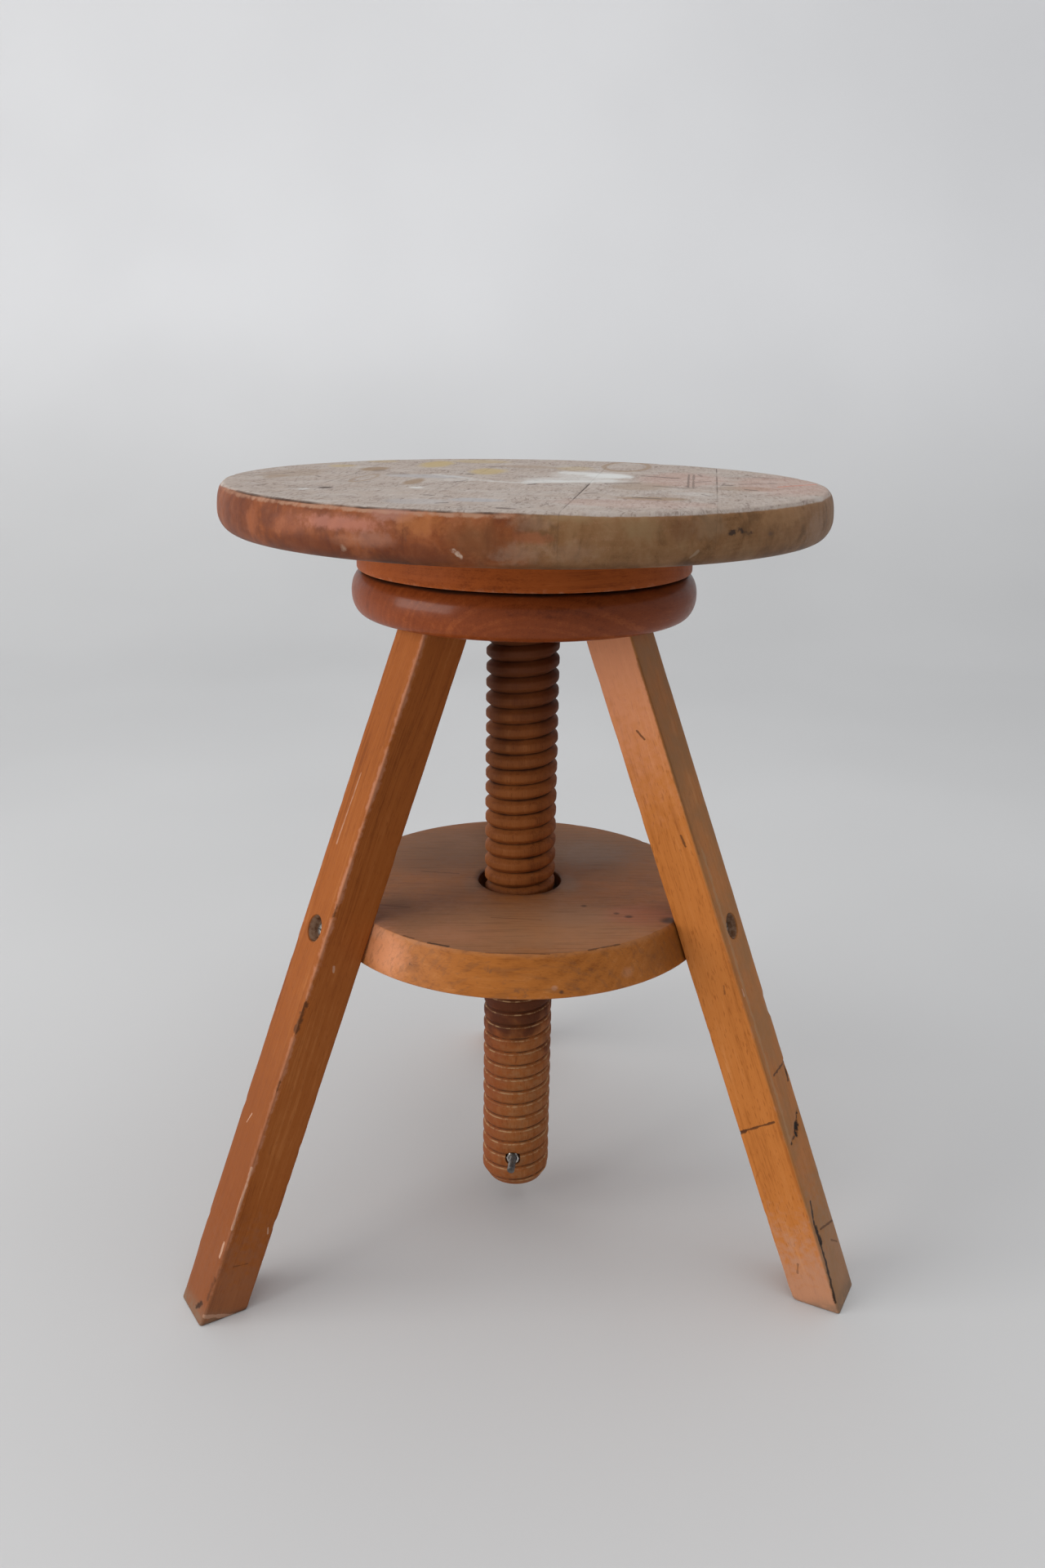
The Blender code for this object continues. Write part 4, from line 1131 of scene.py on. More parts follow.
def make_spindle():
    slope = (CREST_RADIUS - SPINDLE_END_RADIUS) / SPINDLE_END_CHAMFER

    def limit(z):
        return SPINDLE_END_RADIUS + (z - SPINDLE_BOTTOM) * slope

    bm = helix_skin(SPINDLE_BOTTOM, SPINDLE_TOP, limit)
    r = SPINDLE_TENON_RADIUS
    tenon = [(r, SPINDLE_TOP), (r, SPINDLE_TENON_TOP - 1 * MM), (r - 1 * MM, SPINDLE_TENON_TOP)]
    close_end(bm, SPINDLE_TOP, tenon)
    e = SPINDLE_END_RADIUS
    dish = [(e - 2 * MM, SPINDLE_BOTTOM + 0.1 * MM), (e / 2, SPINDLE_BOTTOM + 0.15 * MM)]
    close_end(bm, SPINDLE_BOTTOM, dish)
    spindle = finish_mesh("spindle_threaded", bm, sharp=50.0)
    reach = CREST_RADIUS + 5 * MM
    spans = (
        (STOP_RADIUS + GAP, -reach, reach),
        (STOP_POCKET_RADIUS, STOP_SEAT - GAP, reach),
        (STOP_POCKET_RADIUS, -reach, -STOP_SEAT + GAP),
    )
    cutters = []
    for radius, low, high in spans:
        cutters.append(finish_mesh("stop_hole", lathe([(radius, low), (radius, high)], 32), stop_frame()))
    carve(spindle, cutters, sharp=50.0)

    def dirt(co):
        radius = math.hypot(co.x, co.y)
        if co.z < SPINDLE_BOTTOM + SPINDLE_END_CHAMFER:
            return 0.2
        # darker into the thread roots, more so higher up
        share = clamp((CREST_RADIUS - 0.3 * MM - radius) / THREAD_DEPTH)
        return (0.5 + 0.4 * smooth(co.z, 150 * MM, 300 * MM)) * share ** 2.2

    def wear(co):
        share = thread_share(math.atan2(co.y, co.x), co.z)
        lower = 0.3 + 0.2 * (1 - smooth(co.z, 90 * MM, 260 * MM))
        return lower * (1 - clamp(abs(share - 0.68) / 0.2))

    paint(spindle, "wear", wear)
    paint(spindle, "dirt", dirt)
    look = {
        "seed": 8.8,
        "pith": (0.004, 0.006),
        "rings": 500.0,
        "colours": ((0.16, 0.042, 0.009), (0.30, 0.092, 0.021), (0.41, 0.150, 0.045)),
        "worn_colour": (0.52, 0.25, 0.12),
        "dirt_colour": (0.028, 0.010, 0.005),
        "coat": 0.0,
        "roughness": 0.62,
        "fleck": 0.5,
    }
    finish(spindle, wood("screw_wood", look, screw_dress), "seat", "screw_spindle")


def hexagon(angle, apothem):
    sixth = math.radians(60)
    return apothem / math.cos((angle + sixth / 2) % sixth - sixth / 2)


def make_stop():
    pitch, depth = 0.8 * MM, 0.42 * MM

    def fine_thread(radius, angle, z):
        return min(radius, thread_radius(angle, z, STOP_RADIUS, depth, pitch, 0.0)), z

    def headed(radius, angle, z):
        if z < -STOP_SEAT + 1e-6 and radius > STOP_RADIUS:
            return min(radius, hexagon(angle, STOP_HEX_APOTHEM)), z
        if z > STOP_SEAT - 2 * MM:
            return fine_thread(radius, angle, z)
        return radius, z

    c = 0.5 * MM
    head, seat = -STOP_SEAT - STOP_HEAD_HEIGHT, -STOP_SEAT
    corner = STOP_HEX_APOTHEM / math.cos(math.radians(30))
    profile = [(0.0, head), (corner - 0.7 * MM, head), (corner, head + 0.4 * MM)]
    profile += [(corner, seat), (STOP_RADIUS, seat), (STOP_RADIUS, STOP_SEAT - 2 * MM)]
    rows = round((STOP_END - c - STOP_SEAT + 2 * MM) / (0.1 * MM))
    for i in range(1, rows + 1):
        profile.append((STOP_RADIUS, STOP_SEAT - 2 * MM + i * 0.1 * MM))
    profile += [(STOP_RADIUS - c, STOP_END), (0.0, STOP_END)]
    bolt = finish_mesh("stop_bolt_threaded", lathe(profile, 48, headed), stop_frame(), sharp=40.0)
    finish(bolt, steel("stop_bolt_steel", (0.17, 0.165, 0.16), 0.42, 0.5), "seat", "stop_bolt")

    def hexed(radius, angle, z):
        return min(radius, hexagon(angle, STOP_HEX_APOTHEM)), z

    low, high = STOP_SEAT, STOP_SEAT + STOP_NUT_HEIGHT
    bore = STOP_RADIUS + 0.12 * MM
    profile = [(bore + 0.4 * MM, low), (corner - 0.6 * MM, low)]
    profile += [(corner, low + 0.35 * MM), (corner, high - 0.35 * MM)]
    profile += [(corner - 0.6 * MM, high), (bore + 0.4 * MM, high)]
    profile += [(bore, high - 0.4 * MM), (bore, low + 0.4 * MM)]
    nut = finish_mesh("stop_nut_hex", lathe(profile, 96, hexed, close_rows=True), stop_frame(), sharp=25.0)
    finish(nut, steel("stop_nut_steel", (0.55, 0.53, 0.50), 0.3, 0.15), "seat", "stop_nut")


# ------------------------------------------------------------------ legs
CORNERS = ((1, 1), (-1, 1), (-1, -1), (1, -1))
BLACK, BROWN, PALE = (0.018, 0.010, 0.007), (0.10, 0.036, 0.014), (0.52, 0.30, 0.20)
FACE, SIDE = LEG_DEPTH / 2 / MM, LEG_WIDTH / 2 / MM
# Marks on the legs, in mm in a leg's own frame: start, end, half width, colour, strength, depth. FACE is the
# outer face's place on local X, and SIDE is a side's on local Y
LEG_MARKS = {
    "left": (
        ((14, 15, 188), (14, 16, 206), 2.6, BROWN, 0.85, 0.9),
        ((14, 16, 262), (14, 16, 268), 1.6, BROWN, 0.6, 0.5),
        ((FACE, -6, 119), (FACE, -3, 126), 0.7, PALE, 0.8, 0.0),
        ((-11, SIDE, 57), (-10, SIDE, 61), 0.7, PALE, 0.8, 0.0),
        ((-4, SIDE, 37), (5, SIDE, 35), 0.6, BROWN, 0.6, 0.0),
        ((FACE, 4, 1), (FACE, 9, 6), 2.4, BLACK, 0.8, 0.8),
        ((FACE, 14, 12), (FACE, 15, 26), 1.8, BROWN, 0.7, 0.7),
        ((FACE, 13, 40), (FACE, 13, 49), 1.3, PALE, 0.8, 0.3),
        ((14, 16, 60), (14, 16, 100), 1.2, PALE, 0.7, 0.2),
        ((14, 16, 150), (14, 16, 156), 1.2, BROWN, 0.6, 0.5),
        ((FACE, -6, 300), (FACE, -4, 345), 0.8, PALE, 0.55, 0.0),
        ((FACE, -16, 2), (FACE, -16, 30), 1.4, BROWN, 0.6, 0.3),
        ((-14, SIDE, 2), (14, SIDE, 2), 1.6, PALE, 0.6, 0.0),
        ((2, SIDE, 228), (3, SIDE, 231), 0.9, PALE, 0.7, 0.0),
    ),
    "right": (
        ((-13, -SIDE, 121.5), (10, -SIDE, 126.5), 0.9, BROWN, 0.9, 0.15),
        ((-14, -16, 121), (-10, -SIDE, 122), 1.3, BROWN, 0.9, 0.3),
        ((3, -SIDE, 374), (0, -SIDE, 380), 0.8, BROWN, 0.8, 0.0),
        ((8, -SIDE, 306), (7, -SIDE, 313), 1.0, BROWN, 0.8, 0.2),
        ((FACE, -10, 108), (FACE, 3, 110), 1.5, BLACK, 0.9, 0.9),
        ((FACE, 2, 110), (FACE, 6, 113), 3.4, BLACK, 1.0, 1.5),
        ((FACE, 6, 112), (FACE, 12, 118), 2.0, BLACK, 1.0, 1.0),
        ((FACE, -6, 152), (FACE, 15, 151), 1.1, BROWN, 0.9, 0.2),
        ((FACE, 15, 151), (FACE, 13, 140), 1.6, BLACK, 0.9, 0.8),
        ((FACE, -9, 68), (FACE, -12, 55), 1.3, BLACK, 0.9, 0.5),
        ((FACE, -12, 55), (FACE, -11, 42), 2.6, BLACK, 0.95, 1.0),
        ((FACE, -12, 42), (FACE, -15.5, 4), 1.9, BLACK, 0.9, 0.5),
        ((FACE, -7, 48), (FACE, 15, 41), 0.9, BROWN, 0.8, 0.0),
        ((FACE, 4, 34), (FACE, 12, 28), 0.7, BROWN, 0.6, 0.0),
        ((14, 16, 185), (14, 16, 196), 1.6, BROWN, 0.7, 0.6),
        ((-5, -SIDE, 24), (-3, -SIDE, 30), 0.9, BROWN, 0.5, 0.1),
        ((FACE, -13, 208), (FACE, -13, 212), 1.1, PALE, 0.9, 0.0),
        ((FACE, -15, 300), (14, -16, 420), 1.4, BROWN, 0.3, 0.1),
        ((FACE, -11, 110), (FACE, -9, 300), 2.0, (0.42, 0.23, 0.11), 0.5, 0.0),
        ((4, -SIDE, 212), (5, -SIDE, 217), 0.8, BROWN, 0.5, 0.0),
    ),
    "rear": (
        ((14, -15, 150), (14, -16, 162), 2.0, BROWN, 0.8, 0.8),
        ((FACE, 6, 60), (FACE, -4, 64), 0.7, BROWN, 0.7, 0.0),
        ((-5, SIDE, 210), (3, SIDE, 206), 0.7, PALE, 0.6, 0.0),
        ((14, 16, 20), (14, 16, 34), 2.0, BROWN, 0.7, 0.8),
    ),
}
WORN_CORNERS = {"left": (1.15, 0.3, 0.3, 0.5), "right": (0.5, 0.4, 0.25, 0.45), "rear": (0.7, 0.4, 0.4, 0.7)}


def carved(side, spot):
    """How deep a leg's marks cut at a spot, in metres."""
    deep = 0.0
    for start, end, width, _, _, depth in LEG_MARKS[side]:
        if depth and abs(spot[2] - start[2] * MM) < 40 * MM:
            a, b, p = Vector(start) * MM, Vector(end) * MM, Vector(spot)
            share = clamp((p - a).dot(b - a) / max((b - a).length_squared, 1e-12))
            distance = (p - a - (b - a) * share).length / (1.4 * width * MM)
            deep = max(deep, depth * MM * smooth(distance, 1.0, 0.2))
    return deep


def arris_wear(corner, along, side):
    """Radius of a leg's arris at a place along the leg, with its chips."""
    seed = 3.3 * corner + {"left": 0.0, "right": 20.0, "rear": 40.0}[side]
    spot = (seed * 10 * MM, 0.0, along)
    radius = 1.1 + 0.5 * wander(spot, 40 * MM, seed) + 0.3 * wander(spot, 11 * MM, seed + 2)
    chip = smooth(wander(spot, 15 * MM, seed + 5), 0.38, 0.66)
    chip *= 0.4 + 0.6 * smooth(along, 300 * MM, 60 * MM)
    low = smooth(along, 70 * MM, 0.0)
    return max(0.6, radius + 1.3 * chip + 0.9 * low) * MM


def leg_section(side, z):
    """The points round a leg's level slice at height z, in the leg's own frame, with worn corners."""
    along = up_leg(z)
    points = []
    side_steps, corner_steps = 8, 5
    inset = 1.4 * MM
    foot = clamp(1 - z / inset)
    pull = inset * (1 - math.sqrt(max(0.0, 1 - foot * foot))) * 0.8
    half_x, half_y = LEG_DEPTH / 2 - pull, LEG_WIDTH / 2 - pull
    radii = [arris_wear(i, along, side) for i in range(4)]
    for i, (sx, sy) in enumerate(CORNERS):
        radius = radii[i]
        centre = Vector((sx * (half_x - radius), sy * (half_y - radius)))
        first = math.atan2(sy, sx) - math.pi / 4
        for k in range(corner_steps + 1):
            angle = first + math.pi / 2 * k / corner_steps
            points.append((centre.x + radius * math.cos(angle), centre.y + radius * math.sin(angle)))
        nx, ny = CORNERS[(i + 1) % 4]
        after = Vector((nx * (half_x - radii[(i + 1) % 4]), ny * (half_y - radii[(i + 1) % 4])))
        last = math.atan2(ny, nx) - math.pi / 4
        end = (after.x + radii[(i + 1) % 4] * math.cos(last), after.y + radii[(i + 1) % 4] * math.sin(last))
        begin = points[-1]
        for k in range(1, side_steps):
            t = k / side_steps
            points.append((begin[0] + (end[0] - begin[0]) * t, begin[1] + (end[1] - begin[1]) * t))
    ring = []
    for x, y in points:
        s = (z - x * math.sin(LEG_SPLAY)) / math.cos(LEG_SPLAY)
        spot = (x, y, s)
        hollow = 0.07 * MM * (1 + wander(spot, 28 * MM, 6.0)) + 0.03 * MM * (1 + wander(spot, 7 * MM, 8.0))
        hollow += carved(side, spot)
        size = max(abs(x) / half_x, abs(y) / half_y)
        x2 = x - math.copysign(hollow, x) * (abs(x) / half_x >= size - 0.02)
        y2 = y - math.copysign(hollow, y) * (abs(y) / half_y >= size - 0.02)
        ring.append((x2, y2, (z - x2 * math.sin(LEG_SPLAY)) / math.cos(LEG_SPLAY)))
    return ring


def make_leg(side, azimuth):
    top = HUB_BOTTOM - GAP
    levels = [0.0, 0.2 * MM, 0.5 * MM, 0.9 * MM, 1.4 * MM, 2.2 * MM]
    count = round((top - 2.2 * MM) / (1.6 * MM))
    levels += [2.2 * MM + (top - 2.2 * MM) * i / count for i in range(1, count + 1)]
    matrix = leg_frame(azimuth)
    leg = finish_mesh(f"leg_{side}_bar", skin([leg_section(side, z) for z in levels]), matrix)
    low, high = up_leg(HUB_BOTTOM - 15 * MM), up_leg(LEG_TENON_TOP)
    r = LEG_TENON_RADIUS
    tenon = finish_mesh("tenon", lathe([(r, low), (r, high - 1 * MM), (r - 1 * MM, high)], 48), matrix)
    carve(leg, [tenon], "UNION")
    r = LEG_SCREW_BORE_RADIUS
    pocket = [(0.0, -0.6 * MM), (r - 2.5 * MM, -0.4 * MM), (r - 0.4 * MM, 0.3 * MM), (r, 1.2 * MM)]
    pocket += [(r, LEG_SCREW_SINK - 0.6 * MM), (r + 0.7 * MM, LEG_SCREW_SINK + 0.4 * MM)]
    pocket += [(r + 0.7 * MM, 2 * LEG_DEPTH), (0.0, 2 * LEG_DEPTH)]
    frame_here = leg_screw_frame(azimuth, LEG_SCREW_SINK)
    cutters = [finish_mesh("pocket", lathe(pocket, 48), frame_here)]
    shaft = [(SHANK_RADIUS + GAP, -2 * LEG_DEPTH), (SHANK_RADIUS + GAP, LEG_DEPTH)]
    cutters.append(finish_mesh("shaft", lathe(shaft, 24), frame_here))
    carve(leg, cutters)

    def wear(co):
        x, y = abs(co.x) / (LEG_DEPTH / 2), abs(co.y) / (LEG_WIDTH / 2)
        near = (1 - x) * LEG_DEPTH / 2 + (1 - y) * LEG_WIDTH / 2
        corner = CORNERS.index((1 if co.x > 0 else -1, 1 if co.y > 0 else -1))
        patchy = 0.75 + 0.5 * wander((0.0, corner, co.z), 30 * MM, 50.0)
        return WORN_CORNERS[side][corner] * patchy * smooth(near, 2.6 * MM, 0.9 * MM)

    def dirt(co):
        z = co.x * math.sin(LEG_SPLAY) + co.z * math.cos(LEG_SPLAY)
        foot = 0.8 * smooth(z, 5 * MM, 0.0)
        top_end = 0.7 * smooth(z, HUB_BOTTOM - 6 * MM, HUB_BOTTOM)
        return max(foot, top_end)

    paint(leg, "wear", wear)
    paint(leg, "dirt", dirt)
    return leg


LEG_LOOKS = {
    "left": {
        "seed": 9.1,
        "pith": (-0.03, 0.05),
        "colours": ((0.20, 0.050, 0.009), (0.33, 0.094, 0.018), (0.44, 0.152, 0.04)),
        "specular": 0.07,
        "coat": 0.02,
    },
    "right": {
        "seed": 10.6,
        "pith": (0.05, 0.04),
        "colours": ((0.30, 0.087, 0.015), (0.50, 0.168, 0.036), (0.61, 0.255, 0.085)),
        "fleck": 0.6,
        "specular": 0.08,
        "coat": 0.03,
    },
    "rear": {"seed": 11.4, "pith": (0.06, -0.02)},
}


def leg_dress(graph, parts):
    """Dust in the screw's counterbore, a scuffed foot, and each leg's own marks."""
    place, rag = parts["place"], parts["patchy"]
    from_axis = graph.vector("SUBTRACT", graph.stretched(place, (0, 1, 1)), (0.0, 0.0, screw_height()))
    distance = graph.vector("LENGTH", from_axis)
    out = graph.add("SeparateXYZ", {0: place})
    inside = graph.times(
        graph.step(distance, 8.9 * MM, 8.3 * MM, 0.0, 1.0),
        graph.step(out.outputs[0], LEG_DEPTH / 2 - 0.2 * MM, LEG_DEPTH / 2 - 1.5 * MM, 0.0, 1.0),
    )
    colour = parts["colour"]
    low = graph.swayed(rag, 0.12, out.outputs[2])
    side = parts["look"]["side"]
    scuffed = graph.times(graph.step(low, 0.075, 0.012), 0.45 if side == "left" else 0.7)
    colour = graph.mix(scuffed, colour, (0.26, 0.12, 0.07) if side == "left" else (0.48, 0.25, 0.16))
    outer = graph.step(out.outputs[0], LEG_DEPTH / 2 - 1.6 * MM, LEG_DEPTH / 2 - 0.6 * MM)
    if side == "left":
        darker = graph.times(outer, graph.step(low, 0.30, 0.08), 0.65)
        colour = graph.mix(darker, colour, (0.20, 0.056, 0.016))
    if side == "right":
        mixed = graph.step(parts["cloudy"], 0.3, 0.7, 0.35, 0.95)
        colour = graph.mix(graph.times(outer, mixed), colour, (0.33, 0.148, 0.052))
        dusty = graph.times(outer, graph.step(low, 0.10, 0.02), 0.5)
        colour = graph.mix(dusty, colour, (0.29, 0.17, 0.095))
        high = graph.swayed(rag, 0.10, out.outputs[2])
        pink = graph.times(graph.step(high, 0.31, 0.43), graph.math("SUBTRACT", 1.0, outer), 0.65)
        colour = graph.mix(pink, colour, (0.66, 0.285, 0.165))
    edge = graph.times(graph.step(out.outputs[2], 0.009, -0.004), graph.step(rag, 0.3, 0.6, 0.2, 0.8))
    colour = graph.mix(edge, colour, (0.20, 0.13, 0.085))
    colour = graph.scored(colour, place, rag, [mark[:5] for mark in LEG_MARKS[side]])
    dusty_wall = graph.mix(graph.step(rag, 0.35, 0.65), (0.15, 0.065, 0.03), (0.32, 0.20, 0.13))
    parts["colour"] = graph.mix(inside, colour, dusty_wall)
    parts["roughness"] = graph.math("MULTIPLY_ADD", inside, 0.3, parts["roughness"])


def make_legs():
    for side, azimuth in LEG_AZIMUTHS.items():
        leg = make_leg(side, azimuth)
        look = {"side": side, **LEG_LOOKS[side]}
        finish(leg, wood(f"leg_{side}_wood", look, leg_dress), "frame", f"leg_{side}")


# ------------------------------------------------------------------ lower disc
TOP = (DISC_TOP - DISC_BOTTOM) / MM
# Marks on the disc, in mm about the axis, with heights from the disc's underside. Stains: centre, half size,
# colour, strength
DISC_PATCHES = (
    ((0, 62, TOP), (100, 46, 3), (0.19, 0.115, 0.072), 0.6),
    ((50, 46, TOP), (26, 24, 3), (0.24, 0.165, 0.12), 0.5),
    # painted shadow: a soft dark patch at the left back of the disc's top
    ((-54, 26, TOP), (30, 18, 3), (0.15, 0.080, 0.050), 0.25),
    ((-60, -44, TOP), (26, 20, 3), (0.20, 0.10, 0.055), 0.2),
    ((6, -76, TOP), (76, 34, 3), (0.46, 0.225, 0.105), 0.6),
    ((-44, -88, TOP), (26, 14, 3), (0.44, 0.185, 0.085), 0.5),
    ((30, -60, TOP), (22, 14, 3), (0.36, 0.20, 0.115), 0.4),
    ((72, -60, TOP), (18, 14, 3), (0.46, 0.150, 0.07), 0.6),
    ((31, -8, TOP), (7, 14, 3), (0.32, 0.24, 0.18), 0.4),
    ((-31, -10, TOP), (5, 12, 3), (0.26, 0.19, 0.14), 0.3),
    # partly painted sheen: the window's highlight on the left of the disc's rim, laid over pale rubbed wood
    ((-84, -82, 12), (18, 18, 12), (0.68, 0.275, 0.135), 0.7),
    ((-92, -72, 22), (12, 12, 4), (0.64, 0.30, 0.17), 0.6),
    ((-66, -98, 10), (4, 4, 3), BROWN, 0.3),
    ((58, -103, 8), (4, 4, 3), (0.50, 0.26, 0.16), 0.3),
    ((88, -74, 12), (24, 24, 12), (0.17, 0.058, 0.013), 0.6),
    ((88, -68, TOP), (5, 4, 3), BLACK, 0.75),
    ((64, -62, TOP), (2.2, 1.8, 2), BLACK, 0.7),
    ((57, -57, TOP), (1.6, 1.4, 2), BLACK, 0.6),
    ((38, -45, TOP), (1.7, 1.6, 2), BLACK, 0.6),
    ((19, -119, 3.5), (1.3, 1.3, 1.0), BROWN, 0.95),
    ((15, -119, 6), (1.6, 1.6, 1.2), (0.52, 0.28, 0.18), 0.5),
)
# Lines on the disc: start, end, half width, colour, strength
DISC_LINES = (
    ((-57, -98, TOP), (-46, -103, TOP), 1.2, BLACK, 0.75),
    ((-72, -88, TOP), (-66, -92, TOP), 1.0, BROWN, 0.6),
    ((35, -109, TOP), (54, -101, TOP), 0.8, BLACK, 0.6),
    ((-24, -112, TOP), (12, -114, TOP), 0.7, BROWN, 0.6),
    ((-68, -97, 11), (-63, -100, 9), 0.9, BROWN, 0.6),
    ((-40, 10, TOP), (-64, 14, TOP), 0.8, BROWN, 0.5),
    ((-20, -62, TOP), (10, -66, TOP), 0.8, BROWN, 0.35),
    ((-96, -40, TOP), (-70, -46, TOP), 0.9, BROWN, 0.4),
)


def disc_dress(graph, parts):
    """Stains and knocks on the lower disc."""
    place = graph.vector("SUBTRACT", parts["place"], (0.0, 0.0, DISC_BOTTOM))
    rag = graph.math("MULTIPLY", graph.math("ADD", parts["patchy"], parts["cloudy"]), 0.5)
    speckle = graph.step(graph.noise(place, (150, 420, 150), 4.0, 0.7), 0.60, 0.70)
    colour = graph.mix(graph.times(speckle, 0.4), parts["colour"], (0.12, 0.060, 0.035))
    colour = graph.stained(colour, place, rag, DISC_PATCHES, 0.6)
    streak = graph.step(graph.noise(place, (26, 520, 200), 3.0, 0.6), 0.50, 0.66)
    colour = graph.mix(graph.times(streak, 0.28), colour, (0.13, 0.060, 0.030))
    parts["colour"] = graph.scored(colour, place, parts["patchy"], DISC_LINES)


def make_disc():
    c = 0.7 * MM
    slope = (DISC_BOTTOM_RADIUS - DISC_TOP_RADIUS) / (DISC_TOP - DISC_BOTTOM)
    top, bottom = DISC_TOP_RADIUS, DISC_BOTTOM_RADIUS
    profile = [(DISC_HOLE_RADIUS + 0.5 * MM, DISC_TOP), (top - 4 * MM, DISC_TOP), (top - 2 * MM, DISC_TOP)]
    profile += [(top - c, DISC_TOP), (top - 0.3 * c + 0.2 * c * slope, DISC_TOP - 0.25 * c)]
    profile += [(top + c * slope, DISC_TOP - c), (top + 2.5 * MM * slope, DISC_TOP - 2.5 * MM)]
    profile += [(bottom - c * slope, DISC_BOTTOM + c), (bottom - c, DISC_BOTTOM)]
    profile += [(DISC_HOLE_RADIUS + 0.5 * MM, DISC_BOTTOM), (DISC_HOLE_RADIUS, DISC_BOTTOM + 0.5 * MM)]
    profile += [(DISC_HOLE_RADIUS, DISC_TOP - 0.5 * MM)]

    def shape(radius, angle, z):
        flat = leg_radius(z) - (LEG_DEPTH / 2 + GAP) / math.cos(LEG_SPLAY)
        around = (radius * math.cos(angle), radius * math.sin(angle), z)
        outer = smooth(radius, top - 6 * MM, top - 1 * MM)
        pull = outer * 0.12 * MM * (1 + wander(around, 22 * MM, 31.0) + 0.5 * wander(around, 6 * MM, 33.0))
        nick = smooth(wander(around, 7 * MM, 35.0), 0.3, 0.6)
        nick *= smooth(z, DISC_TOP - 3 * MM, DISC_TOP - 0.3 * MM)
        radius = radius - pull - outer * 0.8 * MM * nick
        for azimuth in LEG_AZIMUTHS.values():
            facing = math.cos(angle - math.radians(azimuth))
            if facing > 0.9:
                radius = min(radius, flat / facing)
        drop = 0.0
        if z > DISC_TOP - 0.1 * MM:
            drop = outer * nick * 0.5 * MM + 0.06 * MM * (1 + wander(around, 25 * MM, 37.0))
        return radius, z - drop

    bm = lathe(resampled(profile, 3 * MM), ROUND_SEGMENTS, shape, close_rows=True)
    disc = finish_mesh("disc_turned", bm)

    def wear(co):
        radius = math.hypot(co.x, co.y)
        upper = smooth(radius, top - 2.5 * MM, top) * smooth(co.z, DISC_TOP - 3 * MM, DISC_TOP - 0.3 * MM)
        lower = smooth(radius, bottom - 2.5 * MM, bottom) * smooth(co.z, DISC_BOTTOM + 3 * MM, DISC_BOTTOM)
        return max(0.35 * upper, 0.4 * lower)

    def dirt(co):
        radius = math.hypot(co.x, co.y)
        hole = 1 - smooth(radius, DISC_HOLE_RADIUS + 0.5 * MM, DISC_HOLE_RADIUS + 7 * MM)
        return 0.6 * hole

    paint(disc, "wear", wear)
    paint(disc, "dirt", dirt)
    look = {
        "seed": 12.7,
        "pith": (0.02, 0.11),
        "dust": 0.75,
        "dust_colour": (0.32, 0.165, 0.090),
        "streak": 0.35,
        "blotch": 0.5,
    }
    material = wood("disc_wood", look, disc_dress)
    finish(disc, material, "frame", "lower_disc", grain_along(-8))


# ------------------------------------------------------------------ wood screws
PAN_HEAD = ((0.0, 3.0), (1.6, 2.92), (3.1, 2.6), (4.1, 1.95), (4.6, 1.1), (4.7, 0.35), (4.6, 0.0))
FLAT_HEAD = ((0.0, 0.0), (4.6, 0.0), (4.8, -0.15), (4.8, -0.4))
LAG_HEAD = ((0.0, 0.0), (6.3, 0.0), (6.5, -0.15), (6.5, -0.5))


def wood_screw(name, head, shank, length, neck, matrix):
    """A slotted screw with its tip down: a smooth neck, then a coarse thread down to the point."""
    pitch, depth, point = 2.2 * MM, 0.25 * shank, 3 * shank
    profile = [(r * MM, z * MM) for r, z in head]
    profile += [(shank, neck)]
    rows = round((length + neck) / (0.3 * MM))
    profile += [(shank, neck - (length + neck) * i / rows) for i in range(1, rows)]
    profile.append((0.0, -length))

    def shape(radius, angle, z):
        if z > neck - length * 0.35 or radius == 0.0:
            return radius, z
        size = shank * clamp((z + length) / point)
        return max(0.0, min(size, thread_radius(angle, z, size, min(depth, size / 2), pitch, 0.0))), z

    screw = finish_mesh(name, lathe(profile, 40, shape), matrix, sharp=40.0)
    high = head[0][1] * MM
    width, depth, reach = 0.6 * MM, 1.3 * MM, 9 * MM
    ring = [(-width, -reach), (width, -reach), (width, reach), (-width, reach)]
    slot = skin([[(x, y, z) for x, y in ring] for z in (high - depth, high + 3 * MM)])
    carve(screw, [finish_mesh("driver", slot, matrix)], sharp=40.0)
    return screw


def make_screws():
    bright = steel("screw_steel", (0.36, 0.35, 0.33), 0.38, 0.45)
    for side, azimuth in LEG_AZIMUTHS.items():
        matrix = leg_screw_frame(azimuth, LEG_SCREW_SINK - GAP)
        screw = wood_screw(f"leg_screw_{side}_slotted", PAN_HEAD, SHANK_RADIUS, LEG_SCREW_LENGTH, 0.0, matrix)
        finish(screw, bright, "frame", f"leg_screw_{side}")
    for k in range(4):
        angle = GRAIN_TURN + math.tau * (k + 0.5) / 4
        spot = Vector((math.cos(angle), math.sin(angle), 0)) * SEAT_SCREW_CIRCLE
        spot.z = FLANGE_BOTTOM + GAP
        matrix = Matrix.Translation(AXIS + spot) @ Matrix.Rotation(math.pi, 4, "X")
        name = f"seat_screw_{k + 1}"
        screw = wood_screw(name + "_slotted", FLAT_HEAD, SHANK_RADIUS, SEAT_SCREW_LENGTH, -3 * MM, matrix)
        finish(screw, bright, "seat", name)
    lag_low, lag_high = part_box("spindle_lag_screw")
    matrix = Matrix.Translation(AXIS + Vector((0, 0, lag_high.z)))
    lag = wood_screw("lag_screw_slotted", LAG_HEAD, 3.5 * MM, lag_high.z - lag_low.z, -4 * MM, matrix)
    finish(lag, bright, "lift", "spindle_lag_screw")


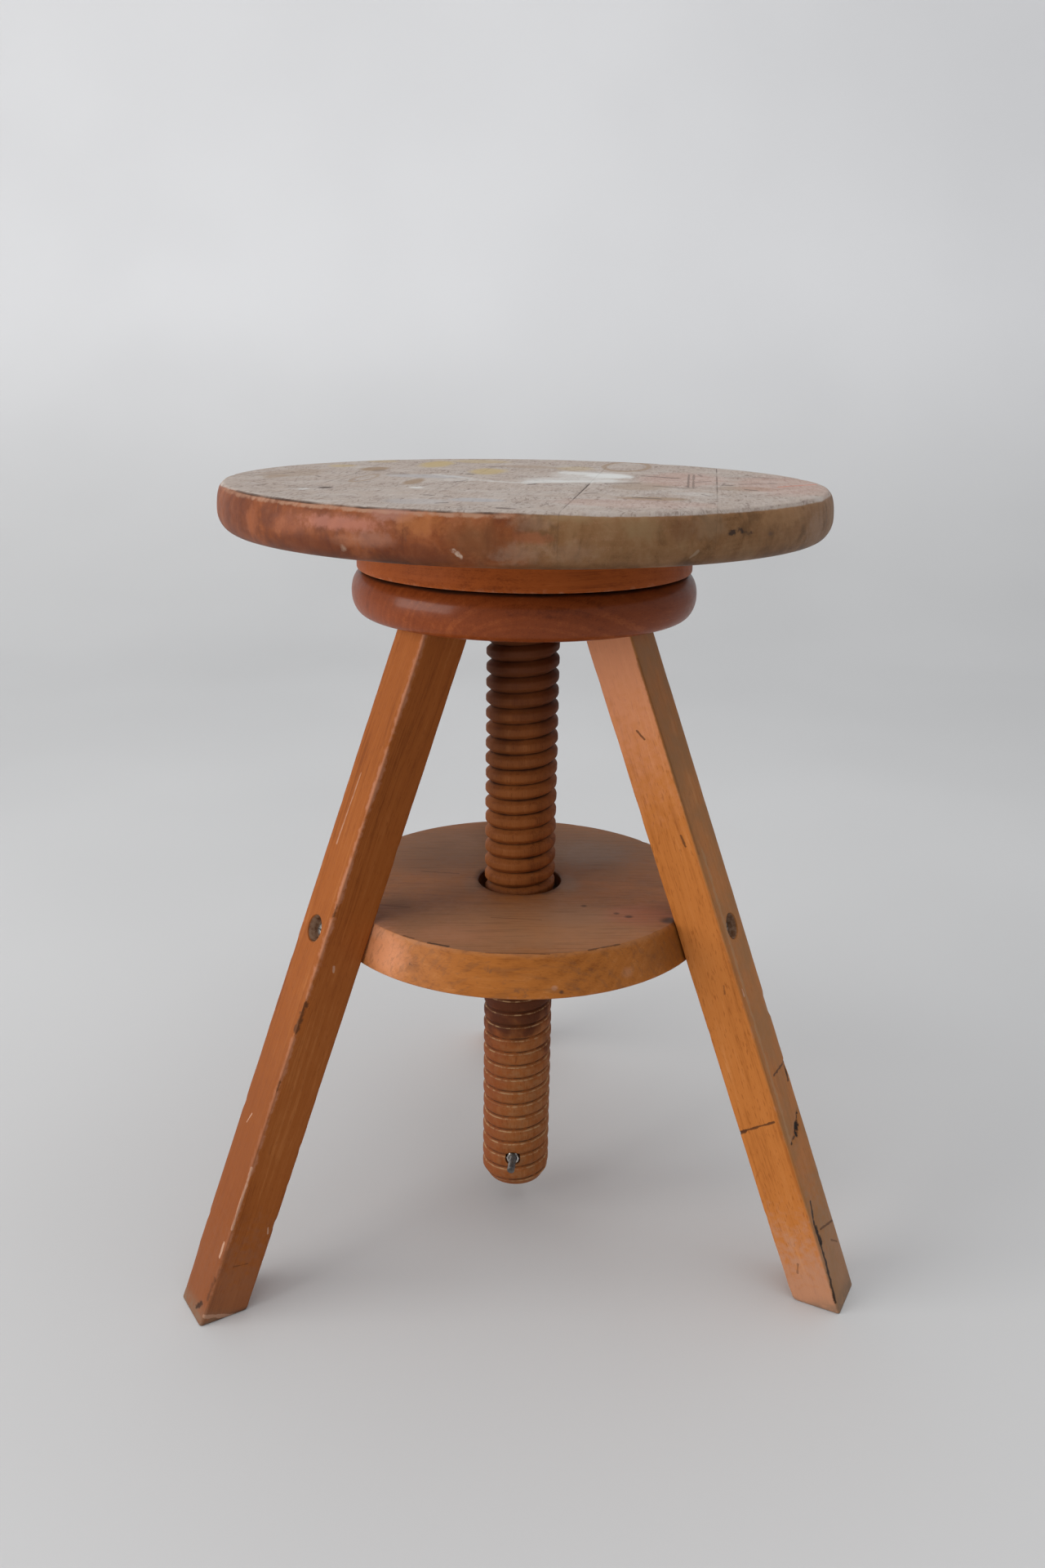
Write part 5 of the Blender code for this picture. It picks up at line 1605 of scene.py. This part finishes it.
# ------------------------------------------------------------------ stage, light and camera
def make_stage():
    """A pale floor that sweeps up into a plain wall."""
    graph = Graph("stage_paint")
    place = graph.add("TexCoord").outputs["Object"]
    tone = graph.noise(place, (1.3, 1.3, 1.3), 2.0)
    height = graph.add("SeparateXYZ", {0: place}).outputs[2]
    colour = graph.mix(graph.step(tone, 0.3, 0.7), (0.60, 0.60, 0.60), (0.64, 0.64, 0.64))
    wall = graph.mix(graph.step(tone, 0.3, 0.7), (0.79, 0.79, 0.80), (0.83, 0.83, 0.84))
    colour = graph.mix(graph.step(height, 0.02, 0.8), colour, wall)
    graph.feed(graph.shader.inputs["Base Color"], colour)
    graph.shader.inputs["Roughness"].default_value = 0.75
    wall_y, radius, steps = 3.2, 1.6, 24
    profile = [(-4.5, 0.0), (wall_y - radius, 0.0)]
    for i in range(1, steps + 1):
        angle = math.pi / 2 * i / steps
        profile.append((wall_y - radius + radius * math.sin(angle), radius - radius * math.cos(angle)))
    profile.append((wall_y, 4.5))
    mesh = bpy.data.meshes.new("stage")
    verts = [(x, y, z) for x in (-4.5, 4.5) for y, z in profile]
    n = len(profile)
    mesh.from_pydata(verts, [], [(i, i + 1, n + i + 1, n + i) for i in range(n - 1)])
    mesh.shade_smooth()
    mesh.materials.append(graph.material)
    stage = bpy.data.objects.new("stage", mesh)
    bpy.context.scene.collection.objects.link(stage)


def area_light(name, place, target, size, watts, colour):
    light = bpy.data.lights.new(name, "AREA")
    light.shape = "RECTANGLE"
    light.size, light.size_y = size
    light.energy = watts
    light.color = colour
    obj = bpy.data.objects.new(name, light)
    bpy.context.scene.collection.objects.link(obj)
    obj.location = place
    obj.rotation_euler = (Vector(target) - Vector(place)).to_track_quat("-Z", "Y").to_euler()


def make_lights():
    world = bpy.data.worlds.new("soft room")
    world.use_nodes = True
    background = world.node_tree.nodes["Background"]
    background.inputs[0].default_value = (0.95, 0.97, 1.0, 1.0)
    background.inputs[1].default_value = 0.48
    bpy.context.scene.world = world
    area_light("window", (-3.52, -1.27, 1.25), (0, 0, 0.35), (3.0, 2.25), 103, (1.0, 0.985, 0.96))
    area_light("ceiling", (0.1, -0.2, 3.2), (0, 0, 0.2), (3.4, 3.4), 40, (1.0, 1.0, 1.0))


def make_camera():
    data = bpy.data.cameras.new("camera")
    data.lens = 30.06
    data.sensor_width = 36.0
    camera = bpy.data.objects.new("camera", data)
    bpy.context.scene.collection.objects.link(camera)
    turn = Matrix.Rotation(math.radians(-2.88), 4, "Z")
    pitch = Matrix.Rotation(math.radians(90 - 17.86), 4, "X")
    roll = Matrix.Rotation(math.radians(0.90), 4, "Z")
    camera.matrix_world = Matrix.Translation((-0.0391, -0.8223, 0.5597)) @ turn @ pitch @ roll
    bpy.context.scene.camera = camera


make_camera()
make_stage()
make_lights()
make_seat()
make_flange()
make_hub()
make_spindle()
make_stop()
make_legs()
make_disc()
make_screws()
bpy.context.scene.view_settings.view_transform = "Standard"
